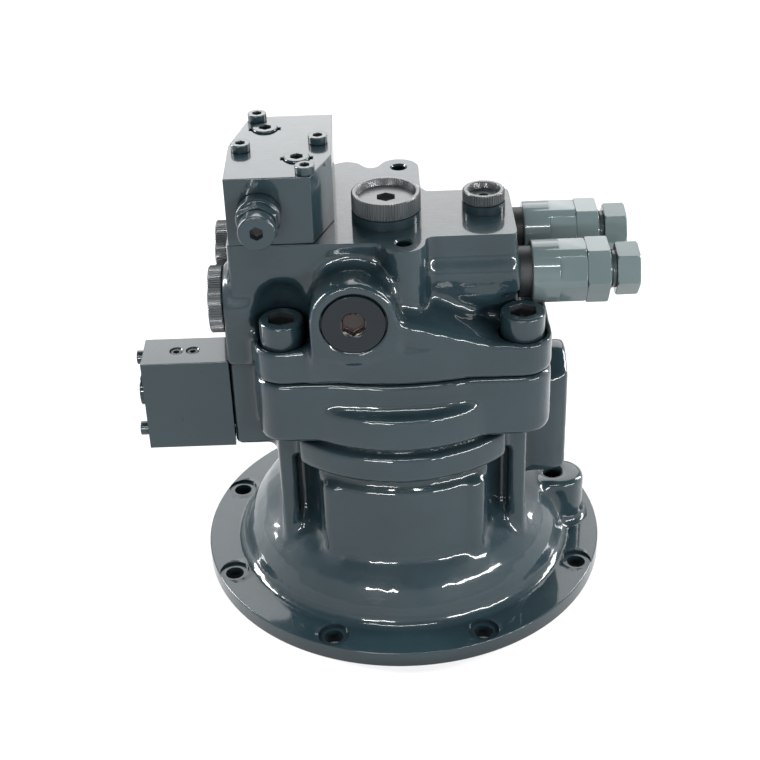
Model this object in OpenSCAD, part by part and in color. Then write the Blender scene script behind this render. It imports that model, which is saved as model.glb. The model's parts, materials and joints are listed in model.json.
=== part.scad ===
// Swing motor of an excavator: an axial piston motor with its parking brake and valves.
// Millimetres. The origin is the centre of the mounting flange's lower face, +Z runs up the
// shaft, +X points to the relief valves and -Y to the lock nut and the front make-up plug.

/* [Mounting flange] */
// Outer diameter of the mounting flange
flange_d = 300; // [298:1:306]
// Thickness of the mounting flange
flange_t = 12; // [10:0.5:14]
// Number of mounting holes
flange_holes = 8; // [6:2:12]
// Distance of the mounting holes' centres from the rim
flange_edge = 11.5; // [11:0.25:12.5]
// Diameter of a mounting hole
flange_hole_d = 13.5; // [12:0.5:14]
// Diameter of the spot face round a mounting hole
flange_spot_d = 22; // [20:1:23]
// Bore of the register that centres the motor on its gearbox
register_d = 220; // [216:1:222]

/* [Casing] */
// Height of the joint face between casing and rear cover
casing_h = 194; // [190:1:200]
// Radius of the round core of the barrel
barrel_r = 84; // [82:0.5:86]
// Radius of the band below the head flange
band_r = 103; // [101:0.5:104]
// Radius of the front and back panels of the barrel
panel_r = 100; // [98:0.5:101]
// Radius of the dome where it leaves the flange
dome_foot_r = 118.5; // [117:0.5:120]
// Height of the head flange of the casing
head_t = 46.5; // [44:0.5:48]
// Length of the box boss on the right, measured from the axis
box_boss_x = 122; // [118:1:124]

/* [Rear cover] */
// Thickness of the cover's bolting plate
plate_t = 26; // [24:0.5:28]
// Height of the cover from the joint to its machined top
cover_h = 91.5; // [90:0.5:96]
// Left end face of the cover, where the main ports open
port_face_x = 118; // [116:0.5:122]
// Half the width of the cover's body
cover_half_w = 57; // [56:0.5:58]
// Half the distance between the two bolting ears
ear_y = 60; // [59:0.5:62]
// Diameter of the threaded hole in a bolting ear
ear_hole_d = 10.2; // [8.5:0.1:12]

/* [Cover bolts] */
// Thread diameter of the cover bolts
bolt_d = 20; // [18:0.5:21]
// Half the bolt spacing along X
bolt_x = 80.5; // [80:0.5:82]
// Distance of the bolt pattern right of the axis
bolt_mid_x = 2; // [0:0.5:3]
// Half the bolt spacing along Y
bolt_y = 65; // [64:0.5:66]
// Radius of a corner lug
lug_r = 20; // [19:0.5:21]

/* [Main ports and caps] */
// Distance of a main port from the middle plane
port_y = 35; // [34:0.5:36]
// Height of a main port above the joint
port_up = 41; // [40:0.5:43]
// Diameter of a knurled port cap
port_cap_d = 46; // [42:0.5:47]
// Thread diameter of a port cap
port_thread_d = 32; // [28:0.5:34]
// Thickness of the large caps' knurled rim
cap_rim_t = 9.6; // [8:0.2:12]
// Diameter of the small cap's knurled rim
small_cap_d = 28.6; // [26:0.2:30]

/* [Make-up valves] */
// Distance of the make-up valves left of the axis
makeup_x = 30; // [29:0.5:31]
// Height of the make-up valves above the joint
makeup_up = 49; // [48:0.5:50]
// Distance of a make-up boss face from the middle plane
makeup_face_y = 92; // [90:0.5:95]
// Diameter of a make-up plug's head
makeup_plug_d = 42; // [40:0.5:44]

/* [Relief valves] */
// Distance of a relief valve from the middle plane
relief_y = 30.5; // [30:0.5:32]
// Height of a relief valve above the joint
relief_up = 51.5; // [50:0.5:53]
// End face of the relief valve bosses
relief_face_x = 82; // [81:0.5:84]
// Diameter of a relief valve body
relief_d = 43; // [41:0.5:44]
// Length of a relief valve body
relief_body_len = 37; // [35:0.5:40]
// Width across flats of the relief valve adapter
adapter_af = 39; // [36:0.5:40]
// Width across flats of the relief valve adjuster
adjuster_af = 31.5; // [28:0.5:33]

/* [Drive shaft] */
// Seat diameter of the front bearing
front_seat_d = 45; // [44:0.5:46]
// Seat diameter of the rear bearing
rear_seat_d = 25; // [24:0.5:26]
// Tip diameter of the output spline
out_spline_d = 38; // [34:0.5:39]
// Number of teeth of the output spline
out_spline_teeth = 14; // [10:1:18]
// Tip diameter of the block spline
block_spline_d = 32; // [31:0.1:32.4]
// Distance of the shaft's tip from the mounting face
shaft_tip_z = 12; // [8:1:20]

/* [Rotating group] */
// Number of pistons
pistons_n = 9; // [7:2:9]
// Piston diameter
piston_d = 20; // [18:0.2:20.4]
// Diameter of the circle the pistons stand on
piston_circle = 76; // [75:0.5:77]
// Outer diameter of the cylinder block
block_d = 100; // [99:0.5:101]
// Length of the cylinder block
block_len = 55; // [54:0.5:56]
// Tilt of the swash plate in degrees
tilt = 13; // [11:0.5:13]
// Outer diameter of the swash plate
swash_d = 120; // [116:1:124]
// Diameter of the ball on a piston
ball_d = 13; // [12:0.2:13.2]

/* [Parking brake] */
// Number of friction plates
friction_n = 3; // [2:1:3]
// Thickness of a friction plate
friction_t = 3; // [2.6:0.1:3]
// Thickness of a separator plate
separator_t = 2.6; // [2.4:0.1:2.6]
// Number of brake springs
brake_springs_n = 10; // [6:1:12]
// Stroke of the brake piston
brake_stroke = 2; // [1.5:0.1:2.4]

/* [Top valve block] */
// Height of the valve block
valve_block_h = 47.3; // [45:0.5:50]
// Height of the reversal spool above the cover's top
spool_up = 22.9; // [22:0.2:24]
// Distance of the reversal spool left of the axis
spool_x = 88.5; // [87:0.5:90]
// Diameter of the reversal spool
spool_d = 14; // [12:0.2:14.4]
// Length of the spring cap outside the valve block
spring_cap_len = 11; // [9:0.5:13]
// Width across flats of the lock nut
lock_nut_af = 25; // [24:0.5:27]

/* [Brake valve block] */
// Length of the brake valve block
brake_block_len = 61; // [60:0.5:66]
// Width of the brake valve block
brake_block_w = 34.5; // [34:0.5:36]
// Height of the brake valve block
brake_block_h = 69.5; // [69:0.5:72]
// Diameter of the brake timing spool
brake_spool_d = 14; // [12:0.2:14.4]

/* [Fits] */
// Radial clearance of a running or sliding fit
run_gap = 0.05; // [0.02:0.01:0.08]
// Gap between faces that pass each other
face_gap = 0.1; // [0.05:0.05:0.2]
// Smoothness of round shapes
$fn = 96; // [48:8:128]

/* [Hidden] */

// Colours
paint = [0.30, 0.36, 0.40];
paint_light = [0.42, 0.49, 0.50];
steel = [0.70, 0.71, 0.73];
dark_steel = [0.28, 0.29, 0.31];
bronze = [0.66, 0.50, 0.26];
seal_black = [0.07, 0.07, 0.08];
cap_grey = [0.33, 0.35, 0.38];
lining = [0.36, 0.26, 0.20];

// A cut runs this far past the face it opens in
past = 1;

// Levels of the casing, from the joint face down
joint_z = casing_h;
head_z = joint_z - head_t;
band_top_z = head_z - 4.5;
band_z = head_z - 25;
panel_top_z = head_z - 34.5;
chamber_z = joint_z - 108;
front_bearing_z = chamber_z - 22;
front_bearing_w = 20;
front_bearing_r = front_seat_d / 2 + 22.5;
seal_w = 10;
seal_z = front_bearing_z - 14;
seal_r = 30;
seal_land_r = 21;
ring_groove_z = seal_z - 1.8;
hub_z = seal_z - 4;
slot_z = joint_z - 56;
slot_r = 5.2;
tab_r = 5;
brake_small_z = joint_z - 32;
brake_step_z = joint_z - 18;

// Radii of the brake, the seal and the dowels, from the cylinder block outwards
key_up = 3.5;
key_r = block_d / 2 + key_up;
plate_ring_w = 13;
plate_bore_r = key_r + plate_ring_w;
chamber_r = plate_bore_r - 0.5;
brake_small_r = plate_bore_r + 5.5;
brake_big_r = brake_small_r + 4;
brake_piston_in_r = key_r + 2.5;
seal_groove_r = brake_big_r + 4.5;
seal_groove_w = 4;
seal_groove_t = 2.4;
dowel_r = 5;
dowel_x = seal_groove_r + seal_groove_w + dowel_r + 2.5;
spring_circle_r = (brake_piston_in_r + brake_big_r) / 2;

dowel_half = 10;
bolt_r = bolt_d / 2;
bolt_head_r = 0.75 * bolt_d;
bolt_seat_z = joint_z + plate_t - 5;
bolt_recess_r = bolt_head_r + 1.5;
bolt_pocket_r = bolt_head_r + 3;
bolt_pocket_h = bolt_d + 7;
bolt_niche_r = bolt_head_r + 3.5;
bolt_len = bolt_seat_z - joint_z + 39;
thread_gap = 0.03;

// Levels and places of the cover
top_z = joint_z + cover_h;
plate_z = joint_z + plate_t;
port_z = joint_z + port_up;
makeup_z = joint_z + makeup_up;
relief_z = joint_z + relief_up;
main_passage_r = 9;
passage_y = port_y - 2;
passage_z = port_z + 3;
port_boss_r = port_cap_d / 2 + 2;
port_r = port_thread_d / 2;
port_thread_len = 22;
port_passage_end = 60;
ear_x = 4.4;
ear_r = 14.5;
deck_right_x = relief_face_x - 2.5;
deck_front_y = 53;
deck_back_y = 18;
deck_step = 14;
relief_boss_r = 26;
makeup_boss_r = makeup_plug_d / 2 + 8;
top_cap_pos = [-6, -20];
top_boss_h = 6.5;
top_cap_t = 12.3;
drain_cap_pos = [60, -11];
drain_boss_h = 6;
drain_cap_t = 7.8;
drain_thread_r = 8.3;
rear_bearing_r = rear_seat_d / 2 + 13.5;
rear_bearing_w = 15;
rear_bearing_z = joint_z + 3;
brake_spring_r = 5;
spring_pocket_r = brake_spring_r + 0.6;
spring_pocket_h = 12;

// Rotating group: the swash face crosses the axis at swash_z, and the ball centres lie in a
// plane ball_up above that face, turned about the point where it crosses the axis
swash_z = chamber_z + 18;
ball_up = 9;
pivot_z = swash_z + ball_up / cos(tilt);
shoe_circle_r = piston_circle / 2 / cos(tilt);
valve_plate_t = 5.95;
block_top_z = joint_z - 6;
block_z = block_top_z - block_len;
block_floor_z = block_top_z - 4;
block_tooth_h = 1.8;
hub_len = 7.5;
spring_pocket_z = block_top_z - 24;
push_pin_r = 1.9;
push_pin_circle_r = block_spline_d / 2 + 3.5;
bush_r = block_spline_d / 2 + 5;
swash_blank_h = 40;
swash_hole_gap = 8;
shoe_pad_w = 5.3;
shoe_pad_t = 3.5;
shoe_wall = 2.5;
retainer_t = 2.8;
retainer_rim = 12;
retainer_hole_gap = 3.1;
piston_neck_len = 10;
piston_len = 45;
piston_wall = 4;
bush_top_z = block_z - hub_len - 1.5;
ball_z = pivot_z + shoe_circle_r * sin(tilt) + 0.3;
piston_r = piston_d / 2;
ball_r = ball_d / 2;
cup_r = ball_r + 0.8;
key_n = 12;
key_w = 8;
key_z0 = slot_z - 2;
key_z1 = slot_z + 22;

// Brake stack, from its ledge up
stack_z = slot_z + 0.3;
pair_pitch = separator_t + friction_t + 2 * face_gap;
stack_top_z = stack_z + friction_n * pair_pitch + separator_t;
brake_piston_top_z = joint_z - 3;
brake_spring_seat_z = joint_z - 12;

// Relief valve stations along X
relief_collar_x = relief_face_x + 8.5;
relief_end_x = relief_collar_x + relief_body_len;
relief_hex_x = relief_end_x - 18.5;
adapter_x = relief_end_x + 15.5;
adjuster_x = adapter_x + 5;
adjuster_len = 15.6;
relief_bore_r = 13;
relief_seat_x = relief_face_x - 27;
poppet_r = 8 - run_gap;
adapter_thread_r = 12;

// Make-up valve stations, as depths below the boss face
makeup_head_t = 8;
makeup_thread_end = 22;
makeup_seat_depth = 40;
makeup_bore_r = 15;
makeup_seat_r = 8;
makeup_stem_r = 5;

// Top valve block
valve_top_z = top_z + valve_block_h;
spool_z = top_z + spool_up;
spool_r = spool_d / 2;
valve_front_y = cover_half_w;
valve_plan = [
    [-110, -valve_front_y], [-110, -3], [-98, 47], [-41, 47], [-41, -24], [-54, -valve_front_y]
];
valve_bolts = [[-92.5, 40], [-101, -11], [-50, -2], [-57.5, -50]];
valve_plug_spots = [[-86.5, 24], [-63.5, -27]];
valve_bolt_r = 4;
valve_bolt_head_r = 6.5;
valve_bolt_head_h = 5.5;
valve_bolt_depth = 17;
cap_thread_r = 12;
cap_thread_len = 11;
cap_base_r = 14.6;
lock_nut_t = 8;
screw_r = 12;
screw_head_t = 11;
screw_stem_r = 7;

// Brake valve block, bolted to the casing's left boss
brake_face_x = port_face_x;
brake_end_x = brake_face_x + brake_block_len;
brake_y = -32.7;
brake_top_z = joint_z - 0.5;
brake_low_z = brake_top_z - brake_block_h;
brake_spool_z = joint_z - 31;
brake_port_z = joint_z - 17;
brake_spool_r = brake_spool_d / 2;
brake_bolt_spots = [[-22, brake_top_z - 10.5], [-43, brake_low_z + 13]];
brake_bolt_r = 3;
brake_plug_r = 11;
brake_plug_proud = 4;
brake_plug_thread_r = 8;
brake_plug_thread_len = 12;
brake_small_plug_xs = [-155.5, -144];
brake_small_plug_r = 4;

// Basic shapes

// A solid of revolution about Z from [radius, height] points
module turned(points) {
    rotate_extrude() polygon(points);
}

// A round bar with both rims chamfered
module chamfered_bar(r, h, c) {
    turned([[0, 0], [r - c, 0], [r, c], [r, h - c], [r - c, h], [0, h]]);
}

// A hexagon prism given by its width across flats, with flats at top and bottom along Y
module hex_bar(af, h) {
    rotate([0, 0, 30]) cylinder(d = af / cos(30), h = h, $fn = 6);
}

// A hexagon prism whose corners are turned off at the end away from its base
module hex_nut(af, h, c) {
    intersection() {
        hex_bar(af, h);
        chamfered_bar(af / 2 / cos(30), h, c);
    }
}

// A socket head cap screw with its seat at the origin and its shank down -Z
module cap_screw(shank_r, shank_len, head_r, head_h, socket_af) {
    difference() {
        union() {
            chamfered_bar(head_r, head_h, head_h * 0.06);
            translate([0, 0, -shank_len]) cylinder(r = shank_r, h = shank_len + head_h / 2);
        }
        translate([0, 0, head_h / 2]) hex_bar(socket_af, head_h);
    }
}

// Lays a shape built along Z so that it points along +X, -X, -Y or +Y
module along_x() { rotate([0, 90, 0]) children(); }
module along_minus_x() { rotate([0, -90, 0]) children(); }
module along_minus_y() { rotate([90, 0, 0]) children(); }
module along_plus_y() { rotate([-90, 0, 0]) children(); }

// Straight-sided splines: the full outline, to be extruded
module spline_outline(tip_r, root_r, teeth) {
    circle(r = root_r);
    for (i = [0 : teeth - 1])
        rotate(i * 360 / teeth)
            translate([0, -PI * tip_r / teeth / 2])
                square([tip_r - 0.2, PI * tip_r / teeth]);
}

// A coil spring along Z: a wire swept round a helix whose first and last quarter turns lie flat
function coil_point(r, z, a) = [r * cos(a), r * sin(a), z];
function wire_ring(r, z, a, wire, sides) = [
    for (k = [0 : sides - 1])
        let (b = 360 * k / sides)
        coil_point(r + wire * cos(b), z + wire * sin(b), a)
];
module coil_spring(mean_r, wire, z0, z1, turns, steps = 12, sides = 5) {
    n = turns * steps;
    rise = z1 - z0 - 2 * wire;
    points = [
        for (i = [0 : n])
            let (share = min(max((i / steps - 0.25) / (turns - 0.5), 0), 1))
            each wire_ring(mean_r, z0 + wire + rise * share, i * 360 / steps, wire, sides)
    ];
    faces = concat(
        [[for (k = [0 : sides - 1]) k]],
        [for (i = [0 : n - 1], k = [0 : sides - 1])
            let (a = i * sides + k, b = i * sides + (k + 1) % sides)
            each [[a, a + sides, b + sides], [a, b + sides, b]]],
        [[for (k = [sides - 1 : -1 : 0]) n * sides + k]]
    );
    polyhedron(points, faces, convexity = 6);
}

// Casing

// A slab of the barrel: the part of a disc within a given half width, front and back
module drum_slab(r, half_w, z0, z1) {
    intersection() {
        translate([0, 0, z0]) cylinder(r = r, h = z1 - z0);
        translate([-half_w, -r - past, z0]) cube([2 * half_w, 2 * (r + past), z1 - z0]);
    }
}

// Places its children at the four cover bolts
module at_bolts() {
    for (sx = [-1, 1], sy = [-1, 1]) translate([bolt_mid_x + sx * bolt_x, sy * bolt_y, 0]) children();
}

// The plan of the head flange and the cover plate, with a lug at each bolt
module head_body(z0, z1, inset = 0) {
    h = z1 - z0;
    corner_r = lug_r - inset;
    translate([0, 0, z0]) at_bolts() cylinder(r = corner_r, h = h);
    translate([bolt_mid_x - bolt_x, -bolt_y - corner_r, z0]) cube([2 * bolt_x, 2 * (bolt_y + corner_r), h]);
    translate([bolt_mid_x - bolt_x - corner_r, -bolt_y, z0]) cube([2 * (bolt_x + corner_r), 2 * bolt_y, h]);
    front_bulge(z0, z1, inset);
    translate([-port_face_x + inset, -bulge_left_y + inset, z0])
        cube([port_face_x, 2 * (bulge_left_y - inset), h]);
}
bulge_left_y = 50;
bulge_half = 46;
bulge_rise = 5.5;
module front_bulge(z0, z1, inset) {
    arc_r = (bulge_half * bulge_half + bulge_rise * bulge_rise) / (2 * bulge_rise);
    edge_y = bolt_y + lug_r - inset;
    for (side = [0, 1]) mirror([0, side, 0])
        intersection() {
            translate([0, arc_r - edge_y - bulge_rise, z0]) cylinder(r = arc_r, h = z1 - z0);
            translate([-bulge_half - 3, -edge_y - bulge_rise - past, z0])
                cube([2 * bulge_half + 6, edge_y, z1 - z0]);
        }
}

// The groove that shows all round between casing and cover
joint_groove_h = 1.4;
joint_groove_t = 1.2;

// Cone-shaped dome between flange and barrel, as one turned outline with the flange
dome_step_r = dome_foot_r + 5;
module flange_and_dome() {
    flange_r = flange_d / 2;
    turned([
        [0, 0], [flange_r - 1, 0], [flange_r, 1], [flange_r, flange_t - 1.5],
        [flange_r - 1.5, flange_t], [dome_step_r, flange_t], [dome_foot_r + 1.5, flange_t + 8],
        [dome_foot_r, flange_t + 14], [dome_foot_r - 5.5, 38], [dome_foot_r - 14.5, 50],
        [dome_foot_r - 26.5, 60], [barrel_r, 68], [barrel_r, head_z + 1], [0, head_z + 1]
    ]);
}

column_x = 76;
column_out_x = barrel_r + 4;
column_y = 62;
panel_half = 48;
rib_out = 57;
module barrel() {
    for (side = [0, 1]) mirror([side, 0, 0])
        translate([column_x, -column_y, 30])
            cube([column_out_x - column_x, 2 * column_y, head_z - 29]);
    drum_slab(panel_r, panel_half, 45, panel_top_z);
    for (side = [0, 1]) mirror([side, 0, 0])
        intersection() {
            translate([0, 0, 45]) cylinder(r = panel_r + 3, h = panel_top_z - 46);
            translate([panel_half - 1, -panel_r - 4, 45])
                cube([rib_out - panel_half + 1, 2 * panel_r + 8, panel_top_z - 46]);
        }
    drum_slab(panel_r - 5, rib_out + 3, 60, head_z + 1);
    drum_slab(band_r, 72, band_z, band_top_z);
    drum_slab(band_r - 1.5, 55.5, head_z, joint_z - 20.5);
}

// Box boss on the right: a slanted front and a roof that rises towards the back
box_boss_y = 19;
box_boss_z = 70;
box_roof_z = head_z + 17;
box_eave_z = head_z + 3.5;
module box_boss() {
    root_x = barrel_r - 8;
    intersection() {
        translate([0, 0, box_boss_z]) linear_extrude(box_roof_z - box_boss_z)
            polygon([
                [root_x, -box_boss_y - 1], [box_boss_x - 11, -box_boss_y - 1],
                [box_boss_x, -box_boss_y + 4], [box_boss_x, box_boss_y], [root_x, box_boss_y]
            ]);
        translate([root_x, 0, 0]) rotate([90, 0, 90]) linear_extrude(box_boss_x)
            polygon([
                [-box_boss_y - 1, 0], [-box_boss_y - 1, box_eave_z], [box_boss_y * 0.2, box_roof_z],
                [box_boss_y, box_roof_z], [box_boss_y, 0]
            ]);
    }
}

// Pad boss on the flange: a round-ended block with a raised, drilled gasket face
pad_pos = [122, 9.5];
pad_r = 18;
pad_z = 50;
pad_root_x = 90;
pad_face_h = 0.8;
pad_hole_r = 7;
pad_hole_pos = [116, 10];
module pad_plan(inset) {
    end_r = pad_r - inset;
    translate(pad_pos) circle(r = end_r);
    polygon([
        [pad_root_x, pad_pos[1] - end_r], [pad_pos[0], pad_pos[1] - end_r],
        [pad_pos[0], pad_pos[1] + end_r], [pad_root_x, pad_pos[1] + end_r]
    ]);
}
module pad_boss() {
    translate([0, 0, flange_t / 2]) linear_extrude(pad_z - pad_face_h - flange_t / 2) pad_plan(0);
    translate([0, 0, pad_z - pad_face_h - past]) linear_extrude(pad_face_h + past) pad_plan(3);
}

brake_boss_back_y = -15;
module brake_boss() {
    translate([-port_face_x, -bulge_left_y, brake_low_z])
        cube([port_face_x - barrel_r + 5, brake_boss_back_y + bulge_left_y, joint_z - brake_low_z]);
}

// The space open to the gearbox, round the seal hub
module gearbox_side_cavity() {
    register_r = register_d / 2;
    turned([
        [0, -past], [register_r, -past], [register_r, 10], [dome_foot_r - 10.5, flange_t + 12],
        [dome_foot_r - 16.5, 36], [dome_foot_r - 26.5, 46], [dome_foot_r - 34.5, hub_z + 10],
        [hub_r + 10, hub_z + 12], [hub_r + 2, hub_z + 6], [hub_r, hub_z], [0, hub_z]
    ]);
}
hub_r = seal_r + 12;

module casing_bores() {
    translate([0, 0, hub_z - past]) cylinder(r = seal_r, h = seal_z + seal_w - hub_z + past);
    translate([0, 0, ring_groove_z]) cylinder(r = seal_r + 1.6, h = 1.6);
    translate([0, 0, seal_z]) cylinder(r = front_seat_d / 2 + 3, h = front_bearing_z - seal_z + past);
    translate([0, 0, front_bearing_z]) cylinder(r = front_bearing_r, h = chamber_z - front_bearing_z + past);
    translate([0, 0, chamber_z]) cylinder(r = chamber_r, h = joint_z - chamber_z + past);
    translate([0, 0, slot_z]) cylinder(r = plate_bore_r, h = joint_z - slot_z + past);
    for (i = [0 : 3]) rotate([0, 0, 45 + 90 * i])
        translate([plate_bore_r, 0, slot_z]) cylinder(r = slot_r, h = brake_small_z - slot_z + past);
    translate([0, 0, brake_small_z]) cylinder(r = brake_small_r, h = joint_z - brake_small_z + past);
    translate([0, 0, brake_step_z]) cylinder(r = brake_big_r, h = joint_z - brake_step_z + past);
    translate([0, 0, joint_z - seal_groove_t]) difference() {
        cylinder(r = seal_groove_r + seal_groove_w / 2, h = seal_groove_t + past);
        translate([0, 0, -past]) cylinder(r = seal_groove_r - seal_groove_w / 2, h = seal_groove_t + 3 * past);
    }
}

module motor_casing() color(paint)
    difference() {
        union() {
            flange_and_dome();
            barrel();
            head_body(head_z, joint_z - joint_groove_h);
            head_body(joint_z - joint_groove_h - past, joint_z, joint_groove_t);
            box_boss();
            pad_boss();
            brake_boss();
        }
        gearbox_side_cavity();
        casing_bores();
        for (i = [0 : flange_holes - 1])
            rotate([0, 0, (i + 0.5) * 360 / flange_holes]) translate([flange_d / 2 - flange_edge, 0, 0]) {
                translate([0, 0, -past]) cylinder(d = flange_hole_d, h = flange_t + 2 * past);
                translate([0, 0, flange_t - 1.5]) cylinder(d = flange_spot_d, h = 20);
            }
        at_bolts() translate([0, 0, bolt_seat_z - bolt_len - 3]) cylinder(r = bolt_r + thread_gap, h = bolt_len);
        translate([pad_hole_pos[0], pad_hole_pos[1], pad_z - 20]) cylinder(r = pad_hole_r, h = 20 + past);
        for (side = [-1, 1]) translate([side * dowel_x, 0, joint_z - dowel_half])
            cylinder(r = dowel_r + thread_gap, h = dowel_half + past);
        translate([-port_face_x - past, brake_y, brake_port_z])
            along_x() cylinder(r = 3, h = port_face_x - brake_small_r + 3);
        for (spot = brake_bolt_spots) translate([-port_face_x - past, spot[0], spot[1]])
            along_x() cylinder(r = brake_bolt_r + thread_gap, h = 17);
    }

// Rear cover

module top_deck(z0) {
    translate([0, 0, z0]) linear_extrude(top_z - z0)
        polygon([
            [-112, -cover_half_w], [ear_x - ear_r, -cover_half_w - 3], [ear_x + ear_r, -deck_front_y],
            [deck_right_x, -deck_front_y], [deck_right_x, deck_back_y], [ear_x + ear_r, deck_back_y],
            [ear_x + ear_r, ear_y], [-45, ear_y], [-112, cover_half_w]
        ]);
}

module relief_bosses(x0) {
    for (side = [-1, 1]) translate([x0, side * relief_y, relief_z])
        along_x() cylinder(r = relief_boss_r, h = relief_face_x - x0);
    for (side = [-1, 1]) translate([x0, side * (relief_y + 11.5), relief_z + 11])
        along_x() cylinder(r = 16, h = relief_face_x - 2 - x0);
    translate([x0, -relief_y - 4, plate_z - 2])
        cube([relief_face_x - 2 - x0, 2 * relief_y + 8, top_z - deck_step - plate_z + 2]);
}

// The wall below a make-up boss, drawn in to the plate's edge at the joint
module makeup_skirt() {
    edge_y = bolt_y + lug_r;
    translate([-makeup_x - makeup_boss_r, 0, 0]) rotate([90, 0, 90]) linear_extrude(2 * makeup_boss_r)
        polygon([
            [-30, joint_z], [-edge_y - 1, joint_z], [-makeup_face_y, plate_z + 2],
            [-makeup_face_y, makeup_z], [-30, makeup_z]
        ]);
}

// The web that slopes from the make-up boss and the body's wall down to the plate
module corner_web() {
    edge_y = bolt_y + lug_r;
    foot_z = plate_z - web_ball_r;
    boss_x = -makeup_x + makeup_boss_r - web_ball_r;
    end_x = bolt_mid_x + bolt_x - bolt_pocket_r - web_ball_r;
    hull() for (spot = [
        [boss_x, -makeup_face_y + web_ball_r, makeup_z - web_ball_r],
        [boss_x, -cover_half_w, makeup_z - web_ball_r],
        [21, -cover_half_w, makeup_z - 2 * web_ball_r],
        [end_x, -cover_half_w, foot_z + 1],
        [end_x, -edge_y + web_ball_r, foot_z],
        [12, -edge_y - 2 + web_ball_r, foot_z]
    ]) translate(spot) sphere(r = web_ball_r, $fn = 16);
}
web_ball_r = 2.5;

module cover_outside() {
    head_body(joint_z, plate_z);
    translate([-112, -cover_half_w, plate_z - 2])
        cube([112 + ear_x, 2 * cover_half_w, top_z - plate_z + 2]);
    top_deck(top_z - deck_step - 10);
    relief_bosses(-10);
    for (side = [-1, 1]) {
        translate([ear_x, side * ear_y, plate_z - 2]) cylinder(r = ear_r, h = top_z - plate_z + 2);
        translate([-makeup_x, side * makeup_face_y, makeup_z]) rotate([side * 90, 0, 0])
            cylinder(r = makeup_boss_r, h = makeup_face_y - 30);
        mirror([0, (side + 1) / 2, 0]) {
            makeup_skirt();
            corner_web();
        }
        translate([-port_face_x, side * port_y, port_z]) along_x() cylinder(r = port_boss_r, h = 20);
        translate([-port_face_x, side * port_y - port_boss_r * 0.92, joint_z])
            cube([20, port_boss_r * 1.84, port_up]);
    }
    translate([-33, ear_y, plate_z + 10]) cylinder(r = 12.5, h = top_z - plate_z - 10);
    translate([top_cap_pos[0], top_cap_pos[1], top_z - 2]) cylinder(d = port_cap_d + 1, h = top_boss_h + 2);
    translate([drain_cap_pos[0], drain_cap_pos[1], top_z - 2])
        cylinder(d = small_cap_d + 1, h = drain_boss_h + 2);
}

module cover_passages() {
    translate([0, 0, joint_z - past])
        cylinder(r = rear_bearing_r, h = rear_bearing_z + rear_bearing_w - joint_z + past);
    for (i = [0 : brake_springs_n - 1]) rotate([0, 0, (i + 0.5) * 360 / brake_springs_n])
        translate([spring_circle_r, 0, joint_z - past]) cylinder(r = spring_pocket_r, h = spring_pocket_h + past);
    for (side = [-1, 1]) {
        translate([side * dowel_x, 0, joint_z - past]) cylinder(r = dowel_r + thread_gap, h = dowel_half + 1 + past);
        translate([-port_face_x - past, side * port_y, port_z])
            along_x() {
                cylinder(r = port_r + thread_gap, h = port_thread_len + past);
                cylinder(r = main_passage_r, h = port_face_x - port_passage_end + past);
            }
        translate([-62, side * passage_y, passage_z])
            along_x() cylinder(r = main_passage_r, h = 62 + relief_seat_x + 3);
        translate([0, side * piston_circle / 2, joint_z - past])
            cylinder(r = 5.5, h = passage_z - joint_z + past);
        translate([relief_face_x + past, side * relief_y, relief_z])
            along_minus_x() cylinder(r = relief_bore_r + thread_gap, h = relief_face_x - relief_seat_x + 3 + past);
        translate([-makeup_x, side * (makeup_face_y + past), makeup_z]) rotate([side * 90, 0, 0]) {
            cylinder(d = makeup_plug_d + 0.2, h = makeup_head_t + past);
            cylinder(r = makeup_bore_r + thread_gap, h = makeup_seat_depth + past);
            cylinder(r = makeup_seat_r, h = makeup_face_y - passage_y + past);
        }
        translate([ear_x, side * ear_y, top_z - 24]) cylinder(d = ear_hole_d, h = 24 + past);
    }
    at_bolts() {
        translate([0, 0, joint_z - past]) cylinder(r = bolt_r + 1, h = plate_t + 2 * past);
        translate([0, 0, bolt_seat_z]) cylinder(r = bolt_recess_r, h = bolt_pocket_h);
    }
    for (sy = [-1, 1]) translate([bolt_mid_x, sy * bolt_y, plate_z]) {
        translate([bolt_x, 0, 0]) cylinder(r = bolt_pocket_r, h = bolt_pocket_h - plate_z + bolt_seat_z);
        translate([-bolt_x, 0, 0]) {
            cylinder(r = bolt_niche_r, h = bolt_d + 2);
            translate([0, 0, bolt_d + 2]) sphere(r = bolt_niche_r);
        }
    }
    translate([top_cap_pos[0], top_cap_pos[1], top_z - 17])
        cylinder(r = port_r + 0.5 + thread_gap, h = 17 + top_boss_h + past);
    translate([drain_cap_pos[0], drain_cap_pos[1], top_z - 12])
        cylinder(r = drain_thread_r + thread_gap, h = 12 + drain_boss_h + past);
    for (spot = valve_bolts) translate([spot[0], spot[1], top_z - valve_bolt_depth - 3])
        cylinder(r = valve_bolt_r + thread_gap, h = valve_bolt_depth + 3 + past);
}

module rear_cover() color(paint)
    difference() {
        cover_outside();
        cover_passages();
    }

// Joint hardware

module cover_bolts() color(paint)
    at_bolts() translate([0, 0, bolt_seat_z]) cap_screw(bolt_r, bolt_len, bolt_head_r, bolt_d, 0.85 * bolt_d);

module cover_seal_ring() color(seal_black)
    rotate_extrude() translate([seal_groove_r, joint_z - seal_groove_t / 2]) circle(d = seal_groove_t - 0.02);

module dowel_pins() color(steel)
    for (side = [-1, 1]) translate([side * dowel_x, 0, joint_z - dowel_half])
        chamfered_bar(dowel_r, 2 * dowel_half, 1);

// Bearings and shaft

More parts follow.
